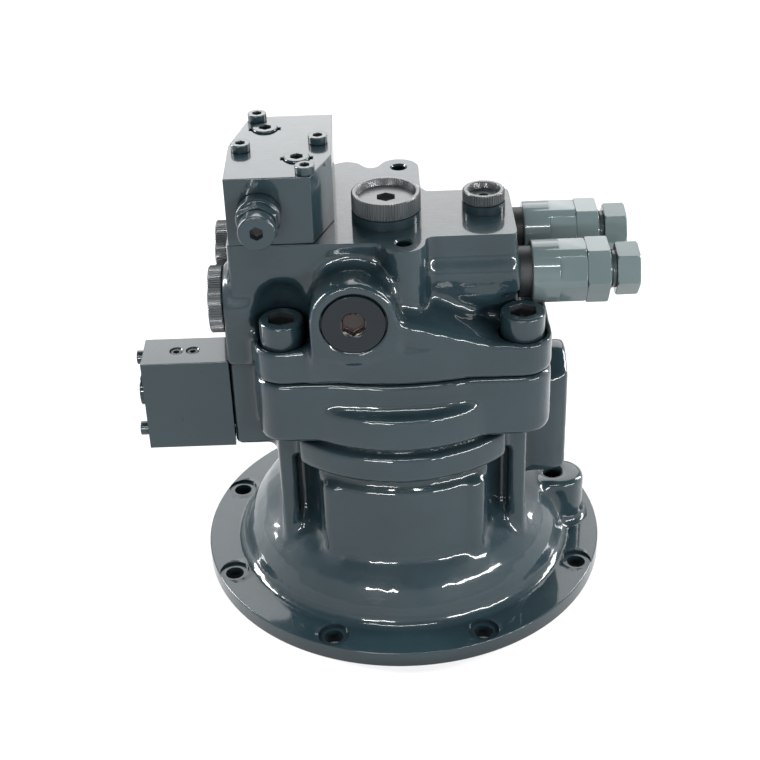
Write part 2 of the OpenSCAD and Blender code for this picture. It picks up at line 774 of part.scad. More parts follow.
front_ball_r = 6.5;
front_pitch_r = (front_seat_d / 2 + front_bearing_r) / 2;
front_balls_n = 11;
front_mid_z = front_bearing_z + front_bearing_w / 2;
module front_race_groove() {
    translate([0, 0, front_mid_z]) rotate_extrude() translate([front_pitch_r, 0]) circle(r = front_ball_r + run_gap);
}
module front_bearing_outer() color(steel)
    difference() {
        translate([0, 0, front_bearing_z]) cylinder(r = front_bearing_r, h = front_bearing_w);
        translate([0, 0, front_bearing_z - past])
            cylinder(r = front_pitch_r + 3.8, h = front_bearing_w + 2 * past);
        front_race_groove();
    }
module front_bearing_inner() color(steel)
    difference() {
        translate([0, 0, front_bearing_z]) cylinder(r = front_pitch_r - 3.8, h = front_bearing_w);
        translate([0, 0, front_bearing_z - past]) cylinder(d = front_seat_d, h = front_bearing_w + 2 * past);
        front_race_groove();
    }
module front_bearing_balls() color(steel) {
    for (i = [0 : front_balls_n - 1]) rotate([0, 0, i * 360 / front_balls_n])
        translate([front_pitch_r, 0, front_mid_z]) sphere(r = front_ball_r);
    difference() {
        translate([0, 0, front_mid_z - 7.5]) cylinder(r = front_pitch_r + 1.8, h = 15);
        translate([0, 0, front_mid_z - 8.5]) cylinder(r = front_pitch_r - 1.8, h = 17);
        for (i = [0 : front_balls_n - 1]) rotate([0, 0, i * 360 / front_balls_n])
            translate([front_pitch_r, 0, front_mid_z]) sphere(r = front_ball_r + 0.15);
    }
}

roller_r = 3.4;
rollers_n = 12;
rear_pitch_r = (rear_seat_d / 2 + rear_bearing_r) / 2;
module rear_bearing_outer() color(steel)
    translate([0, 0, rear_bearing_z]) difference() {
        cylinder(r = rear_bearing_r, h = rear_bearing_w);
        translate([0, 0, -past])
            cylinder(r = rear_pitch_r + roller_r + run_gap, h = rear_bearing_w + 2 * past);
    }
module rear_bearing_inner() color(steel)
    translate([0, 0, rear_bearing_z]) difference() {
        cylinder(r = rear_pitch_r - roller_r - run_gap, h = rear_bearing_w);
        translate([0, 0, -past]) cylinder(d = rear_seat_d, h = rear_bearing_w + 2 * past);
    }
module rear_bearing_rollers() color(steel) {
    translate([0, 0, rear_bearing_z + 1.5])
        for (i = [0 : rollers_n - 1]) rotate([0, 0, i * 360 / rollers_n])
            translate([rear_pitch_r, 0, 0]) chamfered_bar(roller_r, rear_bearing_w - 3, 0.4);
    translate([0, 0, rear_bearing_z + 0.3]) difference() {
        cylinder(r = rear_pitch_r + 1.2, h = rear_bearing_w - 0.6);
        translate([0, 0, -past]) cylinder(r = rear_pitch_r - 1.2, h = rear_bearing_w + past);
        for (i = [0 : rollers_n - 1]) rotate([0, 0, i * 360 / rollers_n])
            translate([rear_pitch_r, 0, 1]) cylinder(r = roller_r + 0.15, h = rear_bearing_w - 2.6);
    }
}

module shaft_seal() color(seal_black)
    turned([
        [seal_land_r + run_gap, seal_z + 3], [seal_land_r + 3, seal_z + 1], [seal_land_r + 3, seal_z],
        [seal_r, seal_z], [seal_r, seal_z + seal_w], [seal_land_r + 6, seal_z + seal_w],
        [seal_land_r + 6, seal_z + 6], [seal_land_r + run_gap, seal_z + 5]
    ]);

module seal_retaining_ring() color(dark_steel)
    translate([0, 0, ring_groove_z + 0.05]) difference() {
        cylinder(r = seal_r + 1.4, h = 1.5);
        translate([0, 0, -past]) cylinder(r = seal_r - 3, h = 1.5 + 2 * past);
        translate([0, -4, -past]) cube([seal_r + 5, 8, 1.5 + 2 * past]);
    }

module drive_shaft() color(steel) {
    seat_r = front_seat_d / 2;
    block_r = block_spline_d / 2;
    tail_r = block_r - 2.5;
    block_root_r = block_r - block_tooth_h;
    rear_r = rear_seat_d / 2;
    land_z = hub_z + 2;
    block_spline_z = block_z - 2;
    block_spline_end_z = spring_pocket_z - 2;
    turned([
        [0, shaft_tip_z], [out_spline_d / 2 - 4, shaft_tip_z], [out_spline_d / 2 - 2, shaft_tip_z + 2],
        [out_spline_d / 2 - 2, land_z], [seal_land_r, land_z + 1], [seal_land_r, front_bearing_z - 2],
        [seat_r, front_bearing_z - 1], [seat_r, front_bearing_z + front_bearing_w],
        [seat_r + 3.5, front_bearing_z + front_bearing_w], [seat_r + 3.5, chamber_z + 4],
        [block_r, chamber_z + 4], [block_r, block_spline_z - 4], [block_root_r, block_spline_z],
        [block_root_r, block_spline_end_z], [tail_r, block_spline_end_z],
        [tail_r, rear_bearing_z - 1], [rear_r, rear_bearing_z - 1],
        [rear_r, rear_bearing_z + rear_bearing_w - 2],
        [rear_r - 1, rear_bearing_z + rear_bearing_w - 1], [0, rear_bearing_z + rear_bearing_w - 1]
    ]);
    translate([0, 0, shaft_tip_z + 3]) linear_extrude(land_z - shaft_tip_z - 3)
        spline_outline(out_spline_d / 2, out_spline_d / 2 - 2.5, out_spline_teeth);
    translate([0, 0, block_spline_z]) linear_extrude(block_spline_end_z - block_spline_z)
        spline_outline(block_r, block_root_r, out_spline_teeth);
}

// Rotating group

// Places children in the tilted plane of the ball centres, turned to one shoe
module on_swash(angle = 0) {
    translate([0, 0, pivot_z]) rotate([0, tilt, 0]) rotate([0, 0, angle]) children();
}

module swash_plate() color(steel)
    difference() {
        intersection() {
            translate([0, 0, chamber_z]) cylinder(d = swash_d, h = swash_blank_h);
            on_swash() translate([0, 0, -ball_up - swash_d / 2]) cylinder(r = swash_d, h = swash_d / 2);
        }
        translate([0, 0, chamber_z - past]) cylinder(r = bush_r + swash_hole_gap, h = swash_blank_h + 2 * past);
    }

module piston_shoes() color(bronze)
    for (i = [0 : pistons_n - 1]) on_swash(i * 360 / pistons_n)
        translate([shoe_circle_r, 0, 0]) difference() {
            union() {
                translate([0, 0, -ball_up + 0.02]) cylinder(r = ball_r + shoe_pad_w, h = shoe_pad_t);
                translate([0, 0, shoe_pad_t - ball_up - 0.5])
                    cylinder(r = ball_r + shoe_wall, h = ball_up - shoe_pad_t);
            }
            sphere(r = cup_r);
        }

module retainer_plate() color(steel)
    on_swash() difference() {
        translate([0, 0, shoe_pad_t - ball_up + 0.2]) cylinder(r = shoe_circle_r + retainer_rim, h = retainer_t);
        sphere(r = bush_r + 0.15);
        for (i = [0 : pistons_n - 1]) rotate([0, 0, i * 360 / pistons_n])
            translate([shoe_circle_r, 0, -ball_up]) cylinder(r = ball_r + retainer_hole_gap, h = ball_up);
    }

module retainer_bush() color(steel)
    difference() {
        union() {
            intersection() {
                translate([0, 0, pivot_z]) sphere(r = bush_r);
                translate([0, 0, pivot_z - 10]) cylinder(r = bush_r + 1, h = 16);
            }
            translate([0, 0, pivot_z + 4]) cylinder(r = bush_r - 0.6, h = bush_top_z - pivot_z - 4);
        }
        translate([0, 0, pivot_z - 20]) cylinder(r = block_spline_d / 2 + run_gap, h = 40);
    }

module push_pins() color(steel)
    for (i = [0 : 2]) rotate([0, 0, 20 + i * 120])
        translate([push_pin_circle_r, 0, bush_top_z]) cylinder(r = push_pin_r, h = spring_pocket_z - bush_top_z);

module pistons() color(steel)
    for (i = [0 : pistons_n - 1]) rotate([0, 0, i * 360 / pistons_n])
        translate([piston_circle / 2, 0, ball_z]) difference() {
            union() {
                sphere(r = ball_r);
                cylinder(r = ball_r - 2, h = piston_neck_len);
                turned([
                    [0, piston_neck_len - 4], [ball_r - 1.5, piston_neck_len - 4],
                    [piston_r, piston_neck_len], [piston_r, piston_len - 1],
                    [piston_r - 1, piston_len], [0, piston_len]
                ]);
            }
            translate([0, 0, piston_neck_len + 4]) cylinder(r = piston_r - piston_wall, h = piston_len);
            translate([0, 0, -ball_r - past]) cylinder(r = 0.8, h = piston_len);
        }

module cylinder_block() color(steel)
    difference() {
        union() {
            translate([0, 0, block_z]) cylinder(d = block_d, h = block_len);
            translate([0, 0, block_z - hub_len]) cylinder(r = push_pin_circle_r + 5, h = hub_len + past);
            for (i = [0 : key_n - 1]) rotate([0, 0, i * 360 / key_n])
                translate([key_r - 8, -key_w / 2, key_z0]) cube([8, key_w, key_z1 - key_z0]);
        }
        for (i = [0 : pistons_n - 1]) rotate([0, 0, i * 360 / pistons_n])
            translate([piston_circle / 2, 0, 0]) {
                translate([0, 0, block_z - past])
                    cylinder(r = piston_r + 0.03, h = block_floor_z - block_z + past);
                translate([0, 0, block_floor_z - past]) cylinder(r = 5.5, h = 6 + past);
            }
        translate([0, 0, block_z - hub_len - past]) linear_extrude(block_len + hub_len)
            spline_outline(
                block_spline_d / 2 + run_gap, block_spline_d / 2 - block_tooth_h + run_gap, out_spline_teeth);
        translate([0, 0, block_z - hub_len - past]) cylinder(r = block_spline_d / 2 + run_gap, h = hub_len);
        translate([0, 0, spring_pocket_z]) cylinder(r = push_pin_circle_r + 2.5, h = 24 + past);
        for (i = [0 : 2]) rotate([0, 0, 20 + i * 120])
            translate([push_pin_circle_r, 0, block_z - hub_len - past])
                cylinder(r = push_pin_r + run_gap, h = spring_pocket_z - block_z + hub_len + 2 * past);
    }

washer_t = 2;
block_spring_r = push_pin_circle_r - 1.5;
module spring_washers() color(dark_steel)
    for (z = [spring_pocket_z, block_top_z - 4]) translate([0, 0, z]) difference() {
        cylinder(r = push_pin_circle_r + 2.3, h = washer_t);
        translate([0, 0, -past]) cylinder(r = block_spline_d / 2 - 2.3, h = washer_t + 2 * past);
    }
module block_spring() color(dark_steel)
    coil_spring(block_spring_r, 1.8, spring_pocket_z + washer_t, block_top_z - 4, 3, 16, 6);

kidney_r = piston_circle / 2;
module kidney_slot(half_w, half_angle, h) {
    rotate([0, 0, -half_angle]) rotate_extrude(angle = 2 * half_angle)
        translate([kidney_r - half_w, 0]) square([2 * half_w, h]);
    for (a = [-half_angle, half_angle]) rotate([0, 0, a])
        translate([kidney_r, 0, 0]) cylinder(r = half_w, h = h);
}
module valve_plate() color(bronze)
    translate([0, 0, joint_z - valve_plate_t]) difference() {
        cylinder(d = block_d - 4, h = valve_plate_t);
        translate([0, 0, -past]) cylinder(r = block_spline_d / 2 + 1, h = valve_plate_t + 2 * past);
        for (a = [90, 270]) rotate([0, 0, a]) translate([0, 0, -past])
            kidney_slot(5, 62, valve_plate_t + 2 * past);
    }

// Parking brake

module friction_plates() color(lining)
    for (i = [0 : friction_n - 1])
        translate([0, 0, stack_z + separator_t + face_gap + i * pair_pitch]) difference() {
            cylinder(r = plate_bore_r - 1.5, h = friction_t);
            translate([0, 0, -past]) cylinder(r = block_d / 2 + 0.3, h = friction_t + 2 * past);
            for (k = [0 : key_n - 1]) rotate([0, 0, k * 360 / key_n])
                translate([key_r - 8, -key_w / 2 - 0.1, -past]) cube([8.3, key_w + 0.2, friction_t + 2 * past]);
        }

module separator_plates() color(dark_steel)
    for (i = [0 : friction_n]) translate([0, 0, stack_z + i * pair_pitch])
        linear_extrude(separator_t) difference() {
            union() {
                circle(r = plate_bore_r - 0.3);
                for (k = [0 : 3]) rotate(45 + 90 * k) translate([plate_bore_r, 0]) circle(r = tab_r);
            }
            circle(r = key_r + 1);
        }

brake_ring_t = 3;
module brake_ring_groove(r, z) {
    translate([0, 0, z]) difference() {
        cylinder(r = r + past, h = brake_ring_t + 0.2);
        translate([0, 0, -past]) cylinder(r = r - 3.2, h = brake_ring_t + 2 * past + 0.2);
    }
}
brake_ring_levels = [[brake_small_r - run_gap, joint_z - 24], [brake_big_r - run_gap, joint_z - 11]];
module brake_piston() color(steel)
    difference() {
        turned([
            [brake_piston_in_r, stack_top_z + face_gap], [plate_bore_r - 2, stack_top_z + face_gap],
            [plate_bore_r - 2, brake_small_z + 0.2], [brake_small_r - run_gap, brake_small_z + 0.2],
            [brake_small_r - run_gap, brake_step_z + 2.5], [brake_big_r - run_gap, brake_step_z + 2.5],
            [brake_big_r - run_gap, brake_piston_top_z], [brake_piston_in_r, brake_piston_top_z]
        ]);
        for (level = brake_ring_levels) brake_ring_groove(level[0], level[1]);
        for (i = [0 : brake_springs_n - 1]) rotate([0, 0, (i + 0.5) * 360 / brake_springs_n])
            translate([spring_circle_r, 0, brake_spring_seat_z]) cylinder(r = spring_pocket_r, h = 20);
    }

module brake_piston_rings() color(seal_black)
    for (level = brake_ring_levels) translate([0, 0, level[1] + 0.1]) difference() {
        cylinder(r = level[0], h = brake_ring_t);
        translate([0, 0, -past]) cylinder(r = level[0] - 3.1, h = brake_ring_t + 2 * past);
    }

module brake_springs() color(dark_steel)
    for (i = [0 : brake_springs_n - 1]) rotate([0, 0, (i + 0.5) * 360 / brake_springs_n])
        translate([spring_circle_r, 0, 0])
            coil_spring(brake_spring_r - 1.1, 1, brake_spring_seat_z + 0.05,
                joint_z + spring_pocket_h - 0.05, 5, 9, 4);

// Make-up valves

module at_makeup(side) {
    translate([-makeup_x, side * makeup_face_y, makeup_z]) rotate([side * 90, 0, 0]) children();
}
module make_up_plugs() color(paint)
    for (side = [-1, 1]) at_makeup(side) difference() {
        union() {
            cylinder(d = makeup_plug_d, h = makeup_head_t);
            cylinder(r = makeup_bore_r, h = makeup_thread_end);
        }
        translate([0, 0, -past]) hex_bar(14, 5 + past);
        translate([0, 0, -past]) cylinder(r1 = 10, r2 = 8, h = 1.2 + past);
        translate([0, 0, makeup_head_t + 1]) cylinder(r = makeup_stem_r + run_gap, h = makeup_thread_end);
    }
module make_up_poppet(side) color(steel)
    at_makeup(side) {
        translate([0, 0, 17]) cylinder(r = makeup_stem_r, h = makeup_seat_depth - 21);
        translate([0, 0, makeup_seat_depth - 4.02]) cylinder(r = makeup_seat_r + 4, h = 4);
        translate([0, 0, makeup_seat_depth - 1]) cylinder(r1 = makeup_seat_r - 0.4, r2 = 4, h = 4);
    }
module make_up_poppet_front() make_up_poppet(-1);
module make_up_poppet_rear() make_up_poppet(1);
module make_up_spring(side) color(dark_steel)
    at_makeup(side) coil_spring(makeup_stem_r + 3, 1, makeup_thread_end, makeup_seat_depth - 4.02, 4, 12, 5);
module make_up_spring_front() make_up_spring(-1);
module make_up_spring_rear() make_up_spring(1);

// Relief valves

module at_relief(side) {
    translate([0, side * relief_y, relief_z]) along_x() children();
}
relief_flat_af = relief_d - 3;
module relief_bodies() color(paint_light)
    for (side = [-1, 1]) at_relief(side) difference() {
        union() {
            translate([0, 0, relief_seat_x]) cylinder(r = relief_bore_r, h = relief_face_x - relief_seat_x + 2);
            translate([0, 0, relief_face_x]) cylinder(r = relief_d / 2 - 4, h = relief_collar_x - relief_face_x + 1);
            translate([0, 0, relief_collar_x])
                turned([
                    [0, 0], [relief_d / 2 - 0.8, 0], [relief_d / 2, 0.8],
                    [relief_d / 2, relief_hex_x - relief_collar_x], [0, relief_hex_x - relief_collar_x]
                ]);
            intersection() {
                translate([0, 0, relief_hex_x - 1]) hex_bar(relief_flat_af, relief_end_x - relief_hex_x + 1);
                translate([0, 0, relief_hex_x - 1])
                    chamfered_bar(relief_d / 2, relief_end_x - relief_hex_x + 1, 0.8);
            }
        }
        translate([0, 0, relief_seat_x - past]) cylinder(r = 5, h = 10);
        translate([0, 0, relief_seat_x + 3]) cylinder(r = poppet_r + run_gap, h = relief_end_x);
        translate([0, 0, relief_end_x - 15.5]) cylinder(r = adapter_thread_r + thread_gap, h = 30);
    }

module relief_adapters() color(paint_light)
    for (side = [-1, 1]) at_relief(side) difference() {
        union() {
            translate([0, 0, relief_end_x - 15]) cylinder(r = adapter_thread_r, h = 16);
            translate([0, 0, relief_end_x]) hex_nut(adapter_af, adapter_x - relief_end_x, 1);
            translate([0, 0, adapter_x - 1]) turned([
                [0, 0], [15, 0], [15, 2], [13, 3.5], [13, adjuster_x - adapter_x + 1], [0, adjuster_x - adapter_x + 1]
            ]);
        }
        translate([0, 0, relief_end_x - 16]) cylinder(r = 6 + thread_gap, h = 60);
    }

module relief_adjusters() color(paint_light)
    for (side = [-1, 1]) at_relief(side) {
        translate([0, 0, adjuster_x]) rotate([0, 0, 7]) hex_nut(adjuster_af, adjuster_len, 1.2);
        translate([0, 0, relief_end_x - 15]) cylinder(r = 6, h = adjuster_x - relief_end_x + 16);
        translate([0, 0, relief_end_x - 19]) cylinder(r = 7.5, h = 3.9);
    }

module relief_poppet(side) color(steel)
    at_relief(side) {
        translate([0, 0, relief_seat_x + 0.5]) cylinder(r = 4.9, h = 4);
        translate([0, 0, relief_seat_x + 3.02])
            turned([[0, 0], [6, 0], [poppet_r, 3], [poppet_r, 17], [poppet_r - 1, 18], [0, 18]]);
    }
module relief_poppet_front() relief_poppet(-1);
module relief_poppet_rear() relief_poppet(1);
module relief_spring(side) color(dark_steel)
    at_relief(side) coil_spring(poppet_r - 2, 1.2, relief_seat_x + 21.05, relief_end_x - 19.03, 6, 12, 5);
module relief_spring_front() relief_spring(-1);
module relief_spring_rear() relief_spring(1);

// Top valve block

module valve_block() color(paint)
    difference() {
        translate([0, 0, top_z]) linear_extrude(valve_block_h) polygon(valve_plan);
        for (spot = valve_bolts) translate([spot[0], spot[1], top_z - past])
            cylinder(r = valve_bolt_r + 0.5, h = valve_block_h + 2 * past);
        for (spot = valve_plug_spots) translate([spot[0], spot[1], valve_top_z]) {
            translate([0, 0, -12]) cylinder(r = 7 + thread_gap, h = 12 + past);
            translate([0, 0, -3]) cylinder(r = 9, h = 3 + past);
            translate([-10.5, -2, -3]) cube([21, 4, 3 + past]);
        }
        translate([-spool_x, -valve_front_y - past, spool_z]) along_plus_y() {
            cylinder(r = spool_r + run_gap, h = valve_front_y + 30 + past);
            cylinder(r = cap_thread_r + thread_gap, h = cap_thread_len + 1 + past);
        }
    }

module valve_block_bolts() color(paint)
    for (spot = valve_bolts) translate([spot[0], spot[1], valve_top_z])
        cap_screw(valve_bolt_r, valve_block_h + valve_bolt_depth, valve_bolt_head_r, valve_bolt_head_h, 6);

module valve_block_plugs() color(paint)
    for (spot = valve_plug_spots) translate([spot[0], spot[1], valve_top_z]) difference() {
        union() {
            translate([0, 0, -11]) cylinder(r = 7, h = 10);
            translate([0, 0, -3]) chamfered_bar(8.5, 4.5, 0.6);
        }
        translate([0, 0, -3]) hex_bar(8, 10);
    }

spool_front_y = -36;
spool_back_y = 24;
module reversal_spool() color(steel)
    translate([-spool_x, 0, spool_z]) along_minus_y() difference() {
        translate([0, 0, -spool_back_y]) chamfered_bar(spool_r, spool_back_y - spool_front_y, 0.6);
        for (z = [-12, 4, 20]) translate([0, 0, z]) difference() {
            cylinder(r = spool_r + past, h = 6);
            translate([0, 0, -past]) cylinder(r = spool_r - 2.5, h = 6 + 2 * past);
        }
    }

cap_face_y = -valve_front_y - spring_cap_len;
cap_bore_r = 8.2;
module reversal_spring() color(dark_steel)
    translate([-spool_x, 0, spool_z]) along_minus_y()
        coil_spring(spool_r - 1.6, 1.1, -spool_front_y, valve_front_y + 2, 5, 12, 5);

module spring_cap() color(paint)
    translate([-spool_x, 0, spool_z]) along_minus_y() difference() {
        union() {
            translate([0, 0, valve_front_y - cap_thread_len]) cylinder(r = cap_thread_r, h = cap_thread_len + past);
            translate([0, 0, valve_front_y]) chamfered_bar(cap_base_r, spring_cap_len, 1.2);
        }
        translate([0, 0, valve_front_y - cap_thread_len - past])
            cylinder(r = cap_bore_r, h = cap_thread_len + 3 + past);
        translate([0, 0, valve_front_y]) cylinder(r = screw_stem_r + thread_gap, h = spring_cap_len + past);
    }

module lock_nut() color(paint_light)
    translate([-spool_x, cap_face_y, spool_z]) along_minus_y() difference() {
        intersection() {
            hex_bar(lock_nut_af, lock_nut_t);
            chamfered_bar(lock_nut_af / 2 / cos(30), lock_nut_t, 1.2);
        }
        translate([0, 0, -past]) cylinder(r = screw_stem_r + thread_gap, h = lock_nut_t + 2 * past);
    }

module adjusting_screw() color(paint_light)
    translate([-spool_x, cap_face_y, spool_z]) along_minus_y() difference() {
        union() {
            translate([0, 0, lock_nut_t]) chamfered_bar(screw_r, screw_head_t, 0.8);
            translate([0, 0, -spring_cap_len + 2.1]) cylinder(r = screw_stem_r, h = spring_cap_len + lock_nut_t);
        }
        translate([0, 0, lock_nut_t + screw_head_t - 6]) hex_bar(8, 10);
    }

// Brake valve block

module brake_valve_block() color(paint)
    difference() {
        translate([-brake_end_x, brake_y - brake_block_w / 2, brake_low_z])
            cube([brake_block_len, brake_block_w, brake_block_h]);
        translate([-brake_end_x - past, brake_y, brake_spool_z]) along_x() {
            cylinder(r = brake_spool_r + run_gap, h = brake_block_len - 10 + past);
            cylinder(r = brake_plug_thread_r + thread_gap, h = brake_plug_thread_len + 1 + past);
        }
        translate([-port_face_x + past, brake_y, brake_port_z]) along_minus_x() cylinder(r = 3, h = 20);
        for (spot = brake_bolt_spots) translate([-brake_end_x - past, spot[0], spot[1]])
            along_x() cylinder(r = brake_bolt_r + 0.3, h = brake_block_len + 2 * past);
        for (x = brake_small_plug_xs) translate([x, brake_y, brake_top_z]) {
            translate([0, 0, -9]) cylinder(r = brake_small_plug_r + thread_gap, h = 9 + past);
            translate([0, 0, -1.2]) cylinder(r = brake_small_plug_r + 0.6, h = 1.2 + past);
        }
    }

module brake_valve_bolts() color(paint)
    for (spot = brake_bolt_spots) translate([-brake_end_x, spot[0], spot[1]])
        along_minus_x() cap_screw(brake_bolt_r, brake_block_len + 15, 5, 6, 5);

module brake_valve_plug() color(paint)
    translate([-brake_end_x, brake_y, brake_spool_z]) along_minus_x() difference() {
        union() {
            chamfered_bar(brake_plug_r, brake_plug_proud, 0.6);
            translate([0, 0, -brake_plug_thread_len])
                cylinder(r = brake_plug_thread_r, h = brake_plug_thread_len + past);
        }
        translate([0, 0, brake_plug_proud - 6]) hex_bar(10, 10);
    }

module brake_valve_small_plugs() color(dark_steel)
    for (x = brake_small_plug_xs) translate([x, brake_y, brake_top_z - 8]) difference() {
        chamfered_bar(brake_small_plug_r, 7.2, 0.4);
        translate([0, 0, 4]) hex_bar(4, 5);
    }

brake_spool_x0 = brake_end_x - 27;
brake_spool_len = 20;
module brake_spool() color(steel)
    translate([-brake_spool_x0, brake_y, brake_spool_z]) along_x() difference() {
        chamfered_bar(brake_spool_r, brake_spool_len, 0.5);
        for (z = [4, 12]) translate([0, 0, z]) difference() {
            cylinder(r = brake_spool_r + past, h = 4);
            translate([0, 0, -past]) cylinder(r = brake_spool_r - 2, h = 4 + 2 * past);
        }
    }
module brake_spool_spring() color(dark_steel)
    translate([0, brake_y, brake_spool_z]) along_minus_x()
        coil_spring(brake_spool_r - 1.8, 1, brake_spool_x0, brake_end_x - brake_plug_thread_len, 5, 12, 5);

// Port caps

// A knurled cap with a dished face and a hexagon socket, its flange face at the origin
module port_cap(rim_d, rim_t, stem_r, stem_len, dish_depth, socket_af) {
    difference() {
        union() {
            chamfered_bar(rim_d / 2, rim_t, 0.8);
            translate([0, 0, -stem_len]) cylinder(r = stem_r, h = stem_len + past);
        }
        translate([0, 0, rim_t - dish_depth]) cylinder(r1 = rim_d / 2 - 4.2, r2 = rim_d / 2 - 3, h = dish_depth + 0.01);
        translate([0, 0, rim_t - dish_depth - 5]) hex_bar(socket_af, 6);
    }
}
module top_port_cap() color(cap_grey)
    translate([top_cap_pos[0], top_cap_pos[1], top_z + top_boss_h])
        port_cap(port_cap_d + 0.6, top_cap_t, port_r + 0.5, 16, 4.5, 10);
module main_port_caps() color(cap_grey)
    for (side = [-1, 1]) translate([-port_face_x, side * port_y, port_z]) along_minus_x()
        port_cap(port_cap_d, cap_rim_t, port_r, 20, 4, 10);
module drain_port_cap() color(cap_grey)
    translate([drain_cap_pos[0], drain_cap_pos[1], top_z + drain_boss_h])
        port_cap(small_cap_d, drain_cap_t, drain_thread_r, 11, 6, 6);

motor_casing();
rear_cover();
cover_bolts();
cover_seal_ring();
dowel_pins();
front_bearing_outer();
front_bearing_balls();
front_bearing_inner();
rear_bearing_outer();
rear_bearing_rollers();
rear_bearing_inner();
shaft_seal();
seal_retaining_ring();
drive_shaft();
swash_plate();
piston_shoes();
retainer_plate();
retainer_bush();
push_pins();
pistons();
cylinder_block();
block_spring();
spring_washers();
valve_plate();
friction_plates();
separator_plates();
brake_piston();
brake_piston_rings();
brake_springs();
make_up_plugs();
make_up_poppet_front();
make_up_poppet_rear();
make_up_spring_front();
make_up_spring_rear();
relief_bodies();
relief_adapters();
relief_adjusters();
relief_poppet_front();
relief_poppet_rear();
relief_spring_front();
relief_spring_rear();
valve_block();
valve_block_bolts();
valve_block_plugs();
reversal_spool();
reversal_spring();
spring_cap();
lock_nut();
adjusting_screw();
brake_valve_block();
brake_valve_bolts();
brake_valve_plug();
brake_valve_small_plugs();
brake_spool();
brake_spool_spring();
top_port_cap();
main_port_caps();
drain_port_cap();
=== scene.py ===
# %% [markdown]
# This lesson dresses a hydraulic swing motor, the motor that turns an excavator's upper body.
# Its construction comes from a CAD model, and this script makes the looks: sprayed paint over rough
# castings, machined blocks with broken edges, knurled caps and bright inner parts.
# It starts by loading the CAD model as a frame that nothing here moves.

# %% Load the frame
import json
import math

import bpy
from mathutils import Matrix, Vector


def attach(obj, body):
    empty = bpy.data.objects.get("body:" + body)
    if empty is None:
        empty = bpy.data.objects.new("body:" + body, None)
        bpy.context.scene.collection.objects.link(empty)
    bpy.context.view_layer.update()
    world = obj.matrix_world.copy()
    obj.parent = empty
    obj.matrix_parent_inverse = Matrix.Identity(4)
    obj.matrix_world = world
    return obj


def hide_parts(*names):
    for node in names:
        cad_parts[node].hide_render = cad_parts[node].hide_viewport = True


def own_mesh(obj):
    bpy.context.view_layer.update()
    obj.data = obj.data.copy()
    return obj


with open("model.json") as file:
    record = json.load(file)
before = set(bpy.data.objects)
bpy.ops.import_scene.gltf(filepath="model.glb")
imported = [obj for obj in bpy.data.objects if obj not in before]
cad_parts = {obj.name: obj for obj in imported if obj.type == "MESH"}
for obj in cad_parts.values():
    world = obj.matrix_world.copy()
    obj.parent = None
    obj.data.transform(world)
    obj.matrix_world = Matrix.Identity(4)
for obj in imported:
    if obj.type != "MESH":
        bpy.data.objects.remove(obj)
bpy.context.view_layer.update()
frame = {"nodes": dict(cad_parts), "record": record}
nodes = frame["nodes"]
scene = bpy.context.scene
MM = 0.001
print("CAD nodes:", len(nodes))

# %% [markdown]
# The camera stands where the photographer stood: about a metre away, 32 degrees above the motor and
# rolled by two degrees. A long lens keeps the round flange close to a true ellipse. The values were
# fitted to the flange's outline and its holes, which is more exact than placing a camera by eye.

# %% Camera
CAMERA_TARGET = Vector((-14.2, 0.0, 143.5)) * MM
CAMERA_DISTANCE = 1110.9 * MM
CAMERA_TURN = math.radians(0.08)
CAMERA_RISE = math.radians(31.89)
CAMERA_ROLL = math.radians(-2.01)
FOCAL_MM = 71.75
SENSOR_MM = 36
FARTHEST_SEEN = 20


def add_camera():
    """Adds the camera, turned by its azimuth, rise and roll about the target."""
    back = Vector((
        math.sin(CAMERA_TURN) * math.cos(CAMERA_RISE),
        -math.cos(CAMERA_TURN) * math.cos(CAMERA_RISE),
        math.sin(CAMERA_RISE),
    ))
    level = Vector((math.cos(CAMERA_TURN), math.sin(CAMERA_TURN), 0))
    upright = back.cross(level)
    right = math.cos(CAMERA_ROLL) * level + math.sin(CAMERA_ROLL) * upright
    up = math.cos(CAMERA_ROLL) * upright - math.sin(CAMERA_ROLL) * level
    bpy.ops.object.camera_add(location=CAMERA_TARGET + CAMERA_DISTANCE * back)
    camera = bpy.context.object
    turn = Matrix((right, up, back)).transposed()
    camera.rotation_euler = turn.to_euler()
    camera.data.lens = FOCAL_MM
    camera.data.sensor_width = SENSOR_MM
    camera.data.clip_end = FARTHEST_SEEN
    scene.camera = camera


add_camera()
print("camera distance in mm:", round(CAMERA_DISTANCE / MM))

# %% [markdown]
# Glossy dark paint shows what stands round it, so the lamps are chosen for how they look in it. A
# large softbox hangs behind and above, and the level faces mirror it and turn pale. Three narrow
# strips in front draw thin bright lines along the rounded edges, and a tall lamp behind each flank
# brightens the sides. One big lamp would be simpler, but it would wash out the front.

# %% Lamps
scene.view_settings.view_transform = "Standard"

# Name, place, the point that it faces, width and height in metres, and watts
LAMPS = [
    ("back_softbox", (0.1, 1.5, 1.35), (0, 0, 0.2), (2.2, 1.2), 26),
    ("high_strip", (-0.1, -1.25, 1.45), (0, 0, 0.15), (1.2, 0.055), 13),
    ("right_front_strip", (1.25, -1.2, 0.62), (0, 0, 0.1), (1.4, 0.12), 28),
    ("left_front_strip", (-0.5, -1.62, 0.62), (0, 0, 0.1), (0.6, 0.09), 12),
    ("left_back_strip", (-1.35, 0.45, 0.75), (0, 0, 0.15), (0.25, 1.1), 38),
    ("right_back_strip", (1.35, 0.5, 0.7), (0, 0, 0.15), (0.25, 1.0), 24),
]


